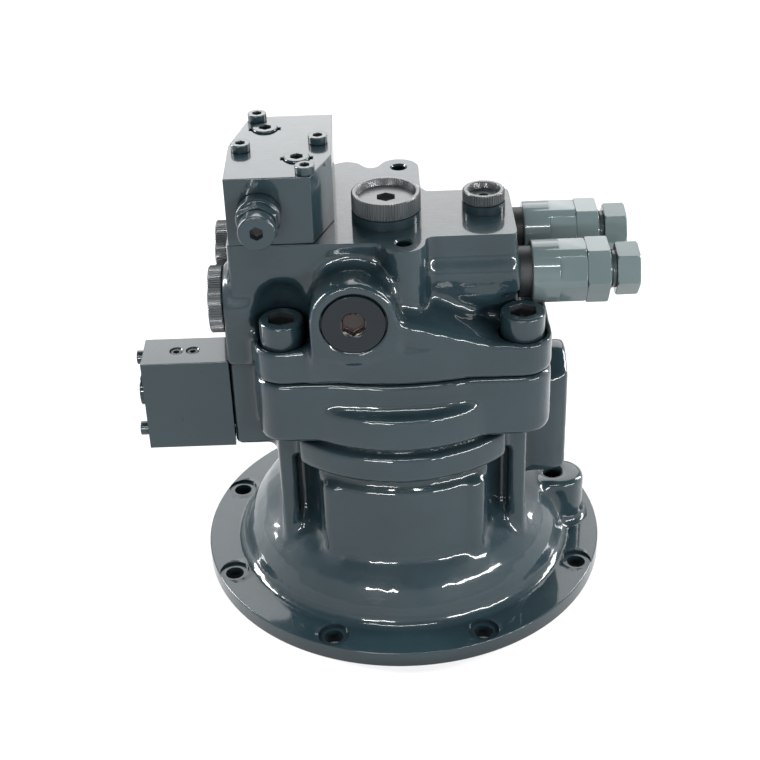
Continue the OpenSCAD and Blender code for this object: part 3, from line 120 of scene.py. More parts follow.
def add_lamp(name, place, target, size, power):
    """Adds a rectangular area lamp at place that faces target."""
    bpy.ops.object.light_add(type="AREA", location=place)
    lamp = bpy.context.object
    lamp.name = name
    lamp.data.shape = "RECTANGLE"
    lamp.data.size, lamp.data.size_y = size
    lamp.data.energy = power
    facing = Vector(target) - Vector(place)
    lamp.rotation_euler = facing.to_track_quat("-Z", "Y").to_euler()


for lamp_values in LAMPS:
    add_lamp(*lamp_values)
print("lamps:", len(LAMPS))

# %% [markdown]
# The world has two jobs. It lights the motor dimly from all sides, and it is the white backdrop that
# the camera and the paint's reflections see. Light Path tells the two kinds of ray apart, so the
# backdrop can be white without more light. Overhead it falls to dark, as a high room does, because
# a white ceiling would make every slope of the castings milky.

# %% World
DIM_LIGHT = 0.10
CEILING_STARTS, CEILING_FULL = 0.2, 0.65
CEILING_LEVEL = 0.12


def seen_ray(tree):
    """Adds nodes that give 1 to camera, mirror and glass rays and 0 to the rest."""
    path = tree.nodes.new("ShaderNodeLightPath")
    last = path.outputs["Is Camera Ray"]
    for name in ("Is Glossy Ray", "Is Transmission Ray"):
        either = tree.nodes.new("ShaderNodeMath")
        either.operation = "MAXIMUM"
        tree.links.new(last, either.inputs[0])
        tree.links.new(path.outputs[name], either.inputs[1])
        last = either.outputs[0]
    return last


def add_backdrop(tree):
    """Adds nodes that give 1 at eye level and fall to the ceiling's level overhead."""
    way = tree.nodes.new("ShaderNodeTexCoord")
    apart = tree.nodes.new("ShaderNodeSeparateXYZ")
    tree.links.new(way.outputs["Generated"], apart.inputs[0])
    ceiling = tree.nodes.new("ShaderNodeMapRange")
    ceiling.interpolation_type = "SMOOTHSTEP"
    ceiling.inputs["From Min"].default_value = CEILING_STARTS
    ceiling.inputs["From Max"].default_value = CEILING_FULL
    ceiling.inputs["To Min"].default_value = 1.0
    ceiling.inputs["To Max"].default_value = CEILING_LEVEL
    tree.links.new(apart.outputs["Z"], ceiling.inputs["Value"])
    return ceiling.outputs["Result"]


def add_world():
    """Shows mirror rays the backdrop, and lights the rest dimly."""
    world = bpy.data.worlds.new("studio")
    world.use_nodes = True
    scene.world = world
    tree = world.node_tree
    background = tree.nodes["Background"]
    background.inputs["Color"].default_value = (1, 1, 1, 1)
    mix = tree.nodes.new("ShaderNodeMix")
    mix.data_type = "FLOAT"
    mix.inputs["A"].default_value = DIM_LIGHT
    tree.links.new(add_backdrop(tree), mix.inputs["B"])
    tree.links.new(seen_ray(tree), mix.inputs["Factor"])
    tree.links.new(mix.outputs["Result"], background.inputs["Strength"])


add_world()
print("world:", scene.world.name)

# %% [markdown]
# The floor is a plane of matt grey. A glow that only the camera and reflections see lifts it to
# white, so no lamp has to burn it out and the motor's shadow stays. The glow begins just inside the
# flange's rim: the bolt holes look straight down on the floor, and there they have to be dark.

# %% Floor
FLOOR_GREY = (0.30, 0.30, 0.31, 1)
FLOOR_GLOW = 0.62
FLOOR_GLOW_FROM = 149 * MM
FLOOR_DROP = 0.2 * MM


def combine(tree, operation, first, second):
    """Adds a maths node that joins an output with another one, or with a number."""
    node = tree.nodes.new("ShaderNodeMath")
    node.operation = operation
    tree.links.new(first, node.inputs[0])
    if isinstance(second, float):
        node.inputs[1].default_value = second
    else:
        tree.links.new(second, node.inputs[1])
    return node.outputs[0]


def add_floor():
    """Adds a pale floor that is white beyond the flange and keeps the motor's shadow."""
    bpy.ops.mesh.primitive_plane_add(size=12, location=(0, 0, -FLOOR_DROP))
    floor = bpy.context.object
    floor.name = "studio_floor"
    material = bpy.data.materials.new("studio_floor")
    material.use_nodes = True
    tree = material.node_tree
    shader = tree.nodes["Principled BSDF"]
    shader.inputs["Base Color"].default_value = FLOOR_GREY
    shader.inputs["Roughness"].default_value = 0.9
    shader.inputs["Emission Color"].default_value = (1, 1, 1, 1)
    place = tree.nodes.new("ShaderNodeTexCoord")
    distance = tree.nodes.new("ShaderNodeVectorMath")
    distance.operation = "LENGTH"
    tree.links.new(place.outputs["Object"], distance.inputs[0])
    outside = combine(tree, "GREATER_THAN", distance.outputs["Value"], FLOOR_GLOW_FROM)
    seen_outside = combine(tree, "MULTIPLY", seen_ray(tree), outside)
    glow = combine(tree, "MULTIPLY", seen_outside, FLOOR_GLOW)
    tree.links.new(glow, shader.inputs["Emission Strength"])
    floor.data.materials.append(material)
    print(floor.name, "glow", FLOOR_GLOW)


add_floor()

# %% [markdown]
# Every finish below is built from the same few nodes: noise on Object coordinates, which are metres
# here, a colour ramp for slow changes of tone, a range for changes of gloss, and bumps for grain.
# An image of paint would also do, but noise has no seams and needs no file. Small helpers string the
# nodes together, so that each finish is a short list of choices.

# %% Finish helpers
TONE_MM = 38
GLOSS_MM = 9


def noise(tree, size_mm, detail):
    """Adds noise with lumps of about this size on Object coordinates."""
    place = tree.nodes.new("ShaderNodeTexCoord")
    node = tree.nodes.new("ShaderNodeTexNoise")
    node.inputs["Scale"].default_value = 1 / (size_mm * MM)
    node.inputs["Detail"].default_value = detail
    tree.links.new(place.outputs["Object"], node.inputs["Vector"])
    return node.outputs["Fac"]


def add_tone(tree, color, spread, painted_shade_mm):
    """Adds a colour that varies slowly and, where asked, painted shade that darkens it in recesses."""
    ramp = tree.nodes.new("ShaderNodeValToRGB")
    darker, paler = ramp.color_ramp.elements
    darker.position = 0.3
    paler.position = 0.72
    darker.color = (*[part * (1 - spread) for part in color], 1)
    paler.color = (*[min(part * (1 + spread), 1) for part in color], 1)
    tree.links.new(noise(tree, TONE_MM, 5), ramp.inputs["Fac"])
    if not painted_shade_mm:
        return ramp.outputs["Color"]
    # Painted shade: the Ambient Occlusion node darkens the colour in recesses, where shade falls.
    painted_shade_node = tree.nodes.new("ShaderNodeAmbientOcclusion")
    painted_shade_node.inputs["Distance"].default_value = painted_shade_mm * MM
    tree.links.new(ramp.outputs["Color"], painted_shade_node.inputs["Color"])
    return painted_shade_node.outputs["Color"]


def add_gloss(tree, rough):
    """Adds a roughness that varies about its mean."""
    gloss = tree.nodes.new("ShaderNodeMapRange")
    gloss.inputs["To Min"].default_value = rough * 0.8
    gloss.inputs["To Max"].default_value = rough * 1.25
    tree.links.new(noise(tree, GLOSS_MM, 3), gloss.inputs["Value"])
    return gloss.outputs["Result"]


def add_bumps(tree, bumps):
    """Adds a bump for each lump size and depth in millimetres, one upon the other."""
    last = None
    for size_mm, depth_mm in bumps:
        bump = tree.nodes.new("ShaderNodeBump")
        bump.inputs["Distance"].default_value = depth_mm * MM
        tree.links.new(noise(tree, size_mm, 3), bump.inputs["Height"])
        if last:
            tree.links.new(last, bump.inputs["Normal"])
        last = bump.outputs["Normal"]
    return last


def new_finish(name, color, rough, bumps, spread=0.12, painted_shade_mm=0, **sockets):
    """Makes a Principled finish, sets its other sockets to plain values, and returns it."""
    finish = bpy.data.materials.new(name)
    finish.use_nodes = True
    tree = finish.node_tree
    shader = tree.nodes["Principled BSDF"]
    tree.links.new(add_tone(tree, color, spread, painted_shade_mm), shader.inputs["Base Color"])
    tree.links.new(add_gloss(tree, rough), shader.inputs["Roughness"])
    tree.links.new(add_bumps(tree, bumps), shader.inputs["Normal"])
    for socket, value in sockets.items():
        shader.inputs[socket.replace("_", " ")].default_value = value
    return finish


print("noise sizes in mm for tone and gloss:", TONE_MM, GLOSS_MM)

# %% [markdown]
# The motor is sprayed in one blue-grey paint after it is put together. On the castings the sand's
# grain shows through it, on machined faces it lies smooth, and on the relief valves it looks paler.
# The gloss is a clear coat over a dull base: one glossy base would mirror the white surroundings so much
# that the dark paint would look grey. Recesses get painted shade: an Ambient Occlusion node darkens the
# paint's colour there.

# %% Paints
PAINT = (0.014, 0.029, 0.036)
PAINT_PALE = (0.095, 0.129, 0.133)
SPRAYED = {"Specular_IOR_Level": 0.10, "Coat_Weight": 0.8}
# The recess depths below set how far the painted shade reaches into recesses.
cast_paint = new_finish(
    "cast_paint", PAINT, 0.32, [(1.6, 0.13), (8, 0.22)], painted_shade_mm=14, Coat_Roughness=0.06, **SPRAYED)
smooth_paint = new_finish(
    "smooth_paint", PAINT, 0.30, [(3.5, 0.05)], spread=0.08, painted_shade_mm=8, Coat_Roughness=0.07, **SPRAYED)
pale_paint = new_finish(
    "pale_paint", PAINT_PALE, 0.30, [(3.0, 0.04)], spread=0.08, painted_shade_mm=6, Coat_Roughness=0.08,
    **SPRAYED)
plug_paint = new_finish(
    "plug_paint", (0.008, 0.012, 0.015), 0.34, [(2.0, 0.03)], Specular_IOR_Level=0.1,
    Coat_Weight=0.35, Coat_Roughness=0.12)
cap_paint = new_finish(
    "cap_paint", (0.036, 0.043, 0.047), 0.35, [(1.2, 0.05)], spread=0.1, Coat_Weight=0.5,
    Coat_Roughness=0.2)
paints = [cast_paint, smooth_paint, pale_paint, plug_paint, cap_paint]
print("paints:", [paint.name for paint in paints])

# %% [markdown]
# Inside, nothing is painted. Races, shafts and pistons are ground steel, springs are oiled and dark, the
# parts that slide on steel are bronze, and the brake plates carry a brown lining. The last two finishes
# are for hexagon sockets. One is the brown of grease, made darker as painted shade; the other is pure
# painted shade, a near-black colour where the socket lies in shade, which is steadier than hoping that a
# lamp misses the hole.

# %% Bare materials
bright_steel = new_finish(
    "bright_steel", (0.55, 0.56, 0.58), 0.3, [(0.8, 0.02)], spread=0.06, Metallic=1.0)
dark_steel = new_finish(
    "dark_steel", (0.06, 0.06, 0.065), 0.42, [(1.0, 0.03)], spread=0.15, Metallic=0.8)
bronze = new_finish("bronze", (0.50, 0.31, 0.12), 0.35, [(1.2, 0.03)], Metallic=1.0)
lining = new_finish("lining", (0.12, 0.075, 0.045), 0.85, [(0.7, 0.12)], spread=0.3)
rubber = new_finish("rubber", (0.012, 0.012, 0.013), 0.55, [(1.5, 0.03)])
# Painted shade: the grease brown is darkened, and the next finish is near-black, to stand in for the
# shade in sockets.
grease_and_painted_shade = new_finish("grease_and_painted_shade", (0.014, 0.006, 0.005), 0.25, [(2.0, 0.1)], spread=0.3)
painted_shade_finish = new_finish("painted_shade_finish", (0.006, 0.008, 0.009), 0.5, [(2.0, 0.05)])
SOCKET_FINISHES = (grease_and_painted_shade, painted_shade_finish)
SLOT_FINISH = {
    "casting_paint": smooth_paint, "valve_paint": pale_paint, "bright_steel": bright_steel,
    "dark_steel": dark_steel, "bronze": bronze, "brake_lining": lining, "seal_rubber": rubber,
    "cap_finish": cap_paint,
}
slot_of = {part["node"]: part["material_slot"] for part in frame["record"]["subparts"]}
for node_name, node in nodes.items():
    node.data.materials.clear()
    node.data.materials.append(SLOT_FINISH[slot_of[node_name]])
print("slots with a finish:", len(SLOT_FINISH))

# %% [markdown]
# A few small helpers do what a hand does in the viewport: select one object, copy a CAD node into a
# closed mesh that may be edited, apply a modifier, and join objects. They keep the steps below as
# short as they would be with a mouse.

# %% Editing helpers
WELD = 0.002 * MM


def only(obj):
    """Selects obj alone and makes it active."""
    bpy.ops.object.select_all(action="DESELECT")
    obj.select_set(True)
    bpy.context.view_layer.objects.active = obj


def merged_copy(node_name, name):
    """Copies a CAD node into a piece of its own whose loose triangles are joined."""
    piece = nodes[node_name].copy()
    piece.data = piece.data.copy()
    piece.name = name
    for key in [key for key in piece.keys() if key.startswith("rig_")]:
        del piece[key]
    piece.parent = None
    scene.collection.objects.link(piece)
    only(piece)
    bpy.ops.object.mode_set(mode="EDIT")
    bpy.ops.mesh.select_all(action="SELECT")
    bpy.ops.mesh.remove_doubles(threshold=WELD)
    bpy.ops.object.mode_set(mode="OBJECT")
    return piece


def apply(obj, kind, **settings):
    """Adds a modifier with these settings and applies it."""
    only(obj)
    modifier = obj.modifiers.new(kind.lower(), kind)
    for key, value in settings.items():
        setattr(modifier, key, value)
    bpy.ops.object.modifier_apply(modifier=modifier.name)


def join_all(objects):
    """Joins several pieces into the first one."""
    only(objects[0])
    for obj in objects[1:]:
        obj.select_set(True)
    bpy.ops.object.join()
    return objects[0]


def settle(obj):
    """Applies an object's place, turn and size, so that all of it is in the mesh."""
    only(obj)
    bpy.ops.object.transform_apply(location=True, rotation=True, scale=True)
    return obj


print("weld distance in mm:", WELD / MM)

# %% [markdown]
# Drills and mills cut the real motor, so round bars and blocks cut the model. Each one is a closed
# primitive that is taken away with a Boolean modifier, or added by one where metal is left standing.

# %% Cutting helpers
ROUND_SIDES = 96


def rod(radius, start, end, sides=ROUND_SIDES, end_radius=None):
    """Adds a round bar, or a cone, between two points in millimetres."""
    start, end = Vector(start) * MM, Vector(end) * MM
    bpy.ops.mesh.primitive_cone_add(
        vertices=sides, radius1=radius * MM, radius2=(end_radius or radius) * MM,
        depth=(end - start).length, location=(start + end) / 2)
    bar = bpy.context.object
    bar.rotation_euler = (end - start).to_track_quat("Z", "Y").to_euler()
    return settle(bar)


def upright_rod(radius, x, y, low, high, sides=ROUND_SIDES, end_radius=None):
    """Adds a round bar along Z."""
    return rod(radius, (x, y, low), (x, y, high), sides, end_radius)


def block(low, high):
    """Adds a box between two corners in millimetres."""
    low, high = Vector(low) * MM, Vector(high) * MM
    bpy.ops.mesh.primitive_cube_add(size=1, location=(low + high) / 2)
    box = bpy.context.object
    box.scale = high - low
    return settle(box)


def cut(piece, cutters, operation="DIFFERENCE"):
    """Cuts closed shapes out of a piece, or adds them to it, and deletes them."""
    for cutter in cutters:
        apply(piece, "BOOLEAN", object=cutter, operation=operation, solver="MANIFOLD")
        bpy.data.objects.remove(cutter)
    return piece


print("sides of a round cutter:", ROUND_SIDES)

# %% [markdown]
# Each piece ends in the same way: it gets its finish, smooth shading that stops at real edges, and
# normals weighted by face size, which keep large flat faces free of odd shades beside small bevels.
# Then the piece is parented to the empty of the body on which it rides, and the CAD nodes that it stands
# for are hidden. Booleans leave empty material slots behind, so these are cleared unless a socket has
# its own finish.

# %% Last steps of a piece
SMOOTH_ANGLE = 32
NORMAL_WEIGHT = 80


def body_of(node_name):
    """Finds the body that holds a CAD node."""
    bodies = frame["record"]["behaviour"]["bodies"]
    return next(body for body, held in bodies.items() if node_name in held)


def finish_piece(piece, finish, body, replaced, smooth_angle=SMOOTH_ANGLE):
    """Gives a piece its finish, shading and body, and hides the CAD nodes that it stands for."""
    finishes = piece.data.materials
    if len(finishes) < 2 or finishes[1] not in SOCKET_FINISHES:
        finishes.clear()
        finishes.append(finish)
        piece.data.polygons.foreach_set("material_index", [0] * len(piece.data.polygons))
    finishes[0] = finish
    only(piece)
    bpy.ops.object.shade_smooth_by_angle(angle=math.radians(smooth_angle))
    apply(piece, "WEIGHTED_NORMAL", keep_sharp=True, weight=NORMAL_WEIGHT)
    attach(piece, body)
    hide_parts(*replaced)
    print(piece.name, len(piece.data.polygons), "faces")


# %% [markdown]
# Iron casting leaves soft corners: the pattern has a fillet in every inner corner, because metal
# shrinks and cracks at sharp ones, and sand rounds the outer edges. The CAD solid is sharp, and a
# Bevel modifier fails where so many edges meet. A voxel skin doesn't: growing it and shrinking it
# again fills the inner corners, and shrinking first and then growing rounds the outer ones.
# Machined faces are cut afterwards, so they stay crisp.

# %% Soft castings
CASTING_TRIANGLES = 170000
SAND_DEPTH = 0.35


def reskin(piece, voxel):
    """Rebuilds the surface of a piece from voxels of this size."""
    apply(piece, "REMESH", mode="VOXEL", voxel_size=voxel * MM, adaptivity=0.0)


def offset(piece, distance):
    """Moves the surface of a piece outwards, or inwards where distance is below zero."""
    apply(piece, "DISPLACE", strength=distance * MM, mid_level=0.0, direction="NORMAL")


def soften(piece, fillet, edge, voxel, grooves=()):
    """Rounds inner corners by about fillet, cuts grooves, and rounds outer edges by about edge."""
    reskin(piece, voxel)
    for distance in (fillet, -fillet):
        offset(piece, distance)
        reskin(piece, voxel)
    cut(piece, grooves)
    reskin(piece, voxel)
    for distance in (-edge, edge):
        offset(piece, distance)
        reskin(piece, voxel)
    apply(piece, "SMOOTH", factor=0.5, iterations=3)


def sand_cast(piece, size_mm):
    """Gives a casting the slightly uneven skin that the sand mould leaves."""
    sand = bpy.data.textures.new("sand_" + piece.name, "CLOUDS")
    sand.noise_scale = size_mm * MM
    sand.noise_depth = 2
    apply(
        piece, "DISPLACE", texture=sand, texture_coords="LOCAL", direction="NORMAL",
        strength=SAND_DEPTH * MM, mid_level=0.5)


def thin_out(piece):
    """Lowers the triangle count of a casting to about the most that it may have."""
    count = sum(len(face.vertices) - 2 for face in piece.data.polygons)
    if count > CASTING_TRIANGLES:
        apply(piece, "DECIMATE", ratio=CASTING_TRIANGLES / count)


def move_vertices(piece, test, shift):
    """Moves the vertices that pass a test by shift, which is worked out from their place."""
    for vertex in piece.data.vertices:
        if test(vertex.co / MM):
            vertex.co += shift(vertex.co) * MM


print("most triangles of a casting:", CASTING_TRIANGLES)

# %% [markdown]
# The motor casing is the large casting at the bottom. Two shallow grooves run round the front of its
# barrel, between the corner columns. They are cut while the casting is being softened, between the
# filling and the rounding, so their edges come out as soft as the rest.

# %% Grooves of the barrel
GROOVE_FLOOR_R = 95
GROOVE_OUTER_R = 115
GROOVE_HALF_W = 73
GROOVE_LEVELS = [(114.2, 121.6), (143.3, 147.4)]


def barrel_groove(low, high):
    """Makes the cutter of a groove round the barrel between the corner columns."""
    ring = upright_rod(GROOVE_OUTER_R, 0, 0, low, high, sides=160)
    cut(ring, [upright_rod(GROOVE_FLOOR_R, 0, 0, low - 1, high + 1, sides=160)])
    between = block((-GROOVE_HALF_W, -120, low - 1), (GROOVE_HALF_W, 120, high + 1))
    return cut(ring, [between], "INTERSECT")


print("grooves at heights", GROOVE_LEVELS)

# %% [markdown]
# The round flange is turned on a lathe, so it is added as a crisp ring after the softening, and its
# eight holes with their spot faces are drilled last. For the softening, the holes are filled and the
# casting's own rim is drawn in by a millimetre, so that all of it lies inside that ring.

# %% Motor casing
FLANGE_T = 12.0
FLANGE_R = 150.0
RING_INNER_R = 112
REGISTER_R, REGISTER_DEPTH = 110, 10
BOLT_CIRCLE_R = 138.5
HOLE_R, SPOT_R, SPOT_Z = 6.75, 11, 10.5
FLANGE_HOLES = [
    (BOLT_CIRCLE_R * math.cos(angle), BOLT_CIRCLE_R * math.sin(angle))
    for angle in (math.radians(22.5 + 45 * i) for i in range(8))
]


def turned_flange():
    """Makes the ring of the flange with its broken edges."""
    ring = upright_rod(FLANGE_R, 0, 0, 0, FLANGE_T + 0.15, sides=256)
    apply(ring, "BEVEL", width=1.0 * MM, segments=3, limit_method="ANGLE")
    return cut(ring, [upright_rod(RING_INNER_R, 0, 0, -1, FLANGE_T + 1, sides=192)])


def make_casing():
    """Makes the motor casing: soft casting, turned flange, register and holes."""
    casing = merged_copy("motor_casing", "casing_casting")
    move_vertices(
        casing, lambda p: p.z < FLANGE_T + 1 and p.to_2d().length > FLANGE_R - 2,
        lambda co: Vector((-co.x, -co.y, 0)).normalized())
    fillers = [upright_rod(SPOT_R + 0.6, x, y, 1, FLANGE_T + 1, 32) for x, y in FLANGE_HOLES]
    join_all([casing, *fillers])
    grooves = [barrel_groove(*levels) for levels in GROOVE_LEVELS]
    soften(casing, fillet=2.2, edge=1.0, voxel=1.6, grooves=grooves)
    sand_cast(casing, 9)
    thin_out(casing)
    cut(casing, [turned_flange()], "UNION")
    cut(casing, [block((-160, -160, -9), (160, 160, 0))])
    cut(casing, [upright_rod(HOLE_R, x, y, -2, FLANGE_T + 2, 48) for x, y in FLANGE_HOLES])
    cut(casing, [upright_rod(SPOT_R, x, y, SPOT_Z, FLANGE_T + 2, 64) for x, y in FLANGE_HOLES])
    cut(casing, [upright_rod(REGISTER_R, 0, 0, -1, REGISTER_DEPTH, sides=192)])
    finish_piece(casing, cast_paint, "housing", ["motor_casing"])


make_casing()

# %% [markdown]
# The rear cover is the second casting. Its deck and the rims of its ports are milled flat after
# casting. The deck is raised before the softening and then cut back to its level, which leaves it flat
# with a crisp edge. Bolt seats, the two tapped ears and the make-up bores are cut last.

# %% Rear cover
DECK_Z = 285.5
DECK_EXTRA = 3
DECK_BOSSES = [((-6, -20), 23.5, 292.0), ((60, -11), 14.8, 291.5)]
BOLT_PLACES = [(82.5, -65), (82.5, 65), (-78.5, -65), (-78.5, 65)]
BOLT_SEAT_R, BOLT_SEAT_Z, BOLT_SEAT_H = 16.5, 215.0, 24
EARS = [(4.4, -60), (4.4, 60)]
EAR_R, EAR_RIM_R, EAR_CHAMFER, EAR_FLOOR_Z = 5.1, 6.3, 1.2, 262
MAKEUP_X, MAKEUP_Z, MAKEUP_FACE_Y = -30.0, 243.0, 92.0
MAKEUP_BORE_R, MAKEUP_FLOOR_Y = 21.8, 84


def deck_mill():
    """Makes the block that mills the deck and leaves the two port bosses standing."""
    mill = block((-130, -110, DECK_Z), (130, 110, DECK_Z + 20))
    for (x, y), radius, top in DECK_BOSSES:
        cut(mill, [upright_rod(radius, x, y, DECK_Z - 1, top)])
    return mill


def make_up_bore(side):
    """Makes the cutter of the shallow bore in the front boss, or in the back one."""
    start = (MAKEUP_X, side * (MAKEUP_FACE_Y + 2), MAKEUP_Z)
    return rod(MAKEUP_BORE_R, start, (MAKEUP_X, side * MAKEUP_FLOOR_Y, MAKEUP_Z), 128)


def make_cover():
    """Makes the rear cover: soft casting, milled deck and bosses, drilled holes."""
    cover = merged_copy("rear_cover", "cover_casting")
    move_vertices(cover, lambda p: p.z > DECK_Z - 0.1, lambda co: Vector((0, 0, DECK_EXTRA)))
    fillers = [upright_rod(EAR_R + 0.6, x, y, EAR_FLOOR_Z - 2, DECK_Z + 3, 32) for x, y in EARS]
    join_all([cover, *fillers])
    soften(cover, fillet=2.6, edge=1.3, voxel=1.5)
    sand_cast(cover, 8)
    thin_out(cover)
    cut(cover, [deck_mill()])
    cut(cover, [
        upright_rod(BOLT_SEAT_R, x, y, BOLT_SEAT_Z, BOLT_SEAT_Z + BOLT_SEAT_H) for x, y in BOLT_PLACES])
    cut(cover, [upright_rod(EAR_R, x, y, EAR_FLOOR_Z, DECK_Z + 1, 48) for x, y in EARS])
    cut(cover, [
        upright_rod(EAR_R, x, y, DECK_Z - EAR_CHAMFER, DECK_Z + 0.1, 48, EAR_RIM_R) for x, y in EARS])
    cut(cover, [make_up_bore(side) for side in (-1, 1)])
    finish_piece(cover, cast_paint, "housing", ["rear_cover"])


make_cover()

# %% [markdown]
# Bolts, plugs, nuts and valve blocks are machined. Their CAD solids have the right shape but edges
# as sharp as a knife. A file or a deburring wheel breaks such edges, and paint rounds them a little
# more, so each part gets a copy whose edges have a small bevel that catches the light. Flat faces
# are made whole first, because a bevel on their triangles would run along lines that aren't edges.

# %% Helpers for machined parts
FLAT_ANGLE = 0.6
EDGE_ANGLE = 38


def tint_inside(piece, finish, start, end, radius):
    """Gives a second finish to the faces within a round bar from start to end in millimetres."""
    if len(piece.data.materials) < 2:
        piece.data.materials.append(finish)
    start, end = Vector(start) * MM, Vector(end) * MM
    axis = (end - start).normalized()
    for face in piece.data.polygons:
        along = (face.center - start).dot(axis)
        away = (face.center - start - along * axis).length
        if 0 <= along <= (end - start).length and away < radius * MM:
            face.material_index = 1


# By default the faces inside a tinted bar get the near-black painted shade.
def dress(node_name, edge_mm, finish, tint=painted_shade_finish, tinted=()):
    """Makes a copy of a CAD part with bevelled edges that stands for it."""
    piece = merged_copy(node_name, node_name + "_dressed")
    bpy.ops.object.mode_set(mode="EDIT")
    bpy.ops.mesh.select_all(action="SELECT")
    bpy.ops.mesh.dissolve_limited(angle_limit=math.radians(FLAT_ANGLE))
    bpy.ops.object.mode_set(mode="OBJECT")
    apply(
        piece, "BEVEL", width=edge_mm * MM, segments=2, limit_method="ANGLE",
        angle_limit=math.radians(EDGE_ANGLE), use_clamp_overlap=False)
    for start, end, radius in tinted:
        tint_inside(piece, tint, start, end, radius)
    finish_piece(piece, finish, body_of(node_name), [node_name])


def upright_sockets(places, low, high, radius):
    """Lists the bars round the hexagon sockets of upright screws."""
    return [((x, y, low), (x, y, high), radius) for x, y in places]


print("edges sharper than", EDGE_ANGLE, "degrees get a bevel")

# %% [markdown]
# The valve block on top and the brake valve block at the left are milled from bar and painted with
# the rest. The larger a part is, the wider its edge is broken.

# %% Valve blocks
for part_name, edge in (
        ("valve_block", 0.7), ("brake_valve_block", 0.6), ("brake_valve_bolts", 0.3),
        ("brake_valve_plug", 0.3), ("spring_cap", 0.4), ("lock_nut", 0.4)):
    dress(part_name, edge, smooth_paint)

# %% [markdown]
# The relief valves on the right are bought parts: a round body with wrench flats, a hexagon adapter and
# a hexagon adjuster. They have the paler paint, and the collar next to the cover lies in shade, so it
# gets the near-black painted shade.

# %% Relief valves
RELIEF_Y, RELIEF_Z = 30.5, 245.5
dress("relief_adapters", 0.45, pale_paint)
dress("relief_adjusters", 0.45, pale_paint)
# The collar's faces get the near-black painted shade, since it lies in shade.
dress("relief_bodies", 0.5, pale_paint, tinted=[
    ((80, side * RELIEF_Y, RELIEF_Z), (90.2, side * RELIEF_Y, RELIEF_Z), 18) for side in (-1, 1)])

# %% [markdown]
# Screws and plugs have hexagon sockets, which get the near-black painted shade inside. A bar round each
# socket picks its faces, so none has to be selected by hand. The plugs of the make-up valves are almost
# black, with brown grease, darkened as painted shade, in the socket.

# %% Screws and plugs
BLOCK_SCREWS = [(-92.5, 40), (-101, -11), (-50, -2), (-57.5, -50)]
BLOCK_PLUGS = [(-86.5, 24), (-63.5, -27)]
SPOOL_X, SPOOL_Z = -88.5, 308.4
dress("adjusting_screw", 0.45, smooth_paint, tinted=[
    ((SPOOL_X, -86.4, SPOOL_Z), (SPOOL_X, -76, SPOOL_Z), 4.9)])
dress(
    "valve_block_plugs", 0.3, smooth_paint,
    tinted=upright_sockets(BLOCK_PLUGS, 322, 332.3, 4.5))
dress(
    "valve_block_bolts", 0.35, smooth_paint,
    tinted=upright_sockets(BLOCK_SCREWS, 330, 337.9, 3.6))
dress(
    "cover_bolts", 0.6, smooth_paint,
    tinted=upright_sockets(BOLT_PLACES, BOLT_SEAT_Z + 4, BOLT_SEAT_Z + 19.2, 11))
dress("make_up_plugs", 0.6, plug_paint, grease_and_painted_shade, [
    ((MAKEUP_X, side * 80, MAKEUP_Z), (MAKEUP_X, side * (MAKEUP_FACE_Y - 0.7), MAKEUP_Z), 10.5)
    for side in (-1, 1)])

# %% [markdown]
# The ports are closed for transport with knurled caps. The knurl gives fingers a grip and is cut as
# straight teeth. It is modelled once on a short cylinder: of every four columns of vertices two are
# drawn in, which makes a tooth, and the rim and the dish follow by extruding and scaling the end face.
# A bump map would be lighter, but the teeth show in the cap's outline.

# %% Helpers for knurled caps
CHAMFER, TOOTH_DEPTH = 0.7, 0.55


def select_where(piece, kind, test):
    """Selects the faces or vertices of a piece that pass a test and stays in edit mode."""
    if bpy.context.mode != "OBJECT":
        bpy.ops.object.mode_set(mode="OBJECT")
    only(piece)
    bpy.ops.object.mode_set(mode="EDIT")
    bpy.ops.mesh.select_mode(type=kind)
    bpy.ops.mesh.select_all(action="DESELECT")
    bpy.ops.object.mode_set(mode="OBJECT")
    for item in piece.data.polygons if kind == "FACE" else piece.data.vertices:
        item.select = test(item)
    bpy.ops.object.mode_set(mode="EDIT")


def step_face(rise, from_radius, to_radius):
    """Extrudes the selected end face by rise and scales it, all in millimetres."""
    bpy.ops.mesh.extrude_region_move(TRANSFORM_OT_translate={"value": (0, 0, rise * MM)})
    share = to_radius / from_radius
    bpy.ops.transform.resize(value=(share, share, 1))


def toothed_cylinder(radius, rim, teeth):
    """Makes the cap's cylinder without its chamfers and draws its tooth gaps in."""
    bpy.ops.object.select_all(action="DESELECT")
    bpy.ops.mesh.primitive_cylinder_add(
        vertices=teeth * 4, radius=radius * MM, depth=(rim - 2 * CHAMFER) * MM,
        location=(0, 0, rim / 2 * MM))
    cap = settle(bpy.context.object)

    def in_gap(vertex):
        column = round(math.atan2(vertex.co.y, vertex.co.x) / (math.pi / 2 / teeth))
        return column % 4 in (0, 1)

    select_where(cap, "VERT", in_gap)
    share = 1 - TOOTH_DEPTH / radius
    bpy.ops.transform.resize(value=(share, share, 1))
    return cap


print("tooth depth in mm:", TOOTH_DEPTH)

# %% [markdown]
# The cap's lower edge gets its chamfer first. On top come the chamfer, the level rim, a small step
# and the dish, each from the face that the last one left. The stem is the plug that fills the
# thread, and the hexagon socket takes the key.

# %% The cap itself
RIM_W, STEP_W, WALL_W = 2.6, 0.6, 1.2
STEP_DEPTH = 0.8
SOCKET_DEPTH = 4


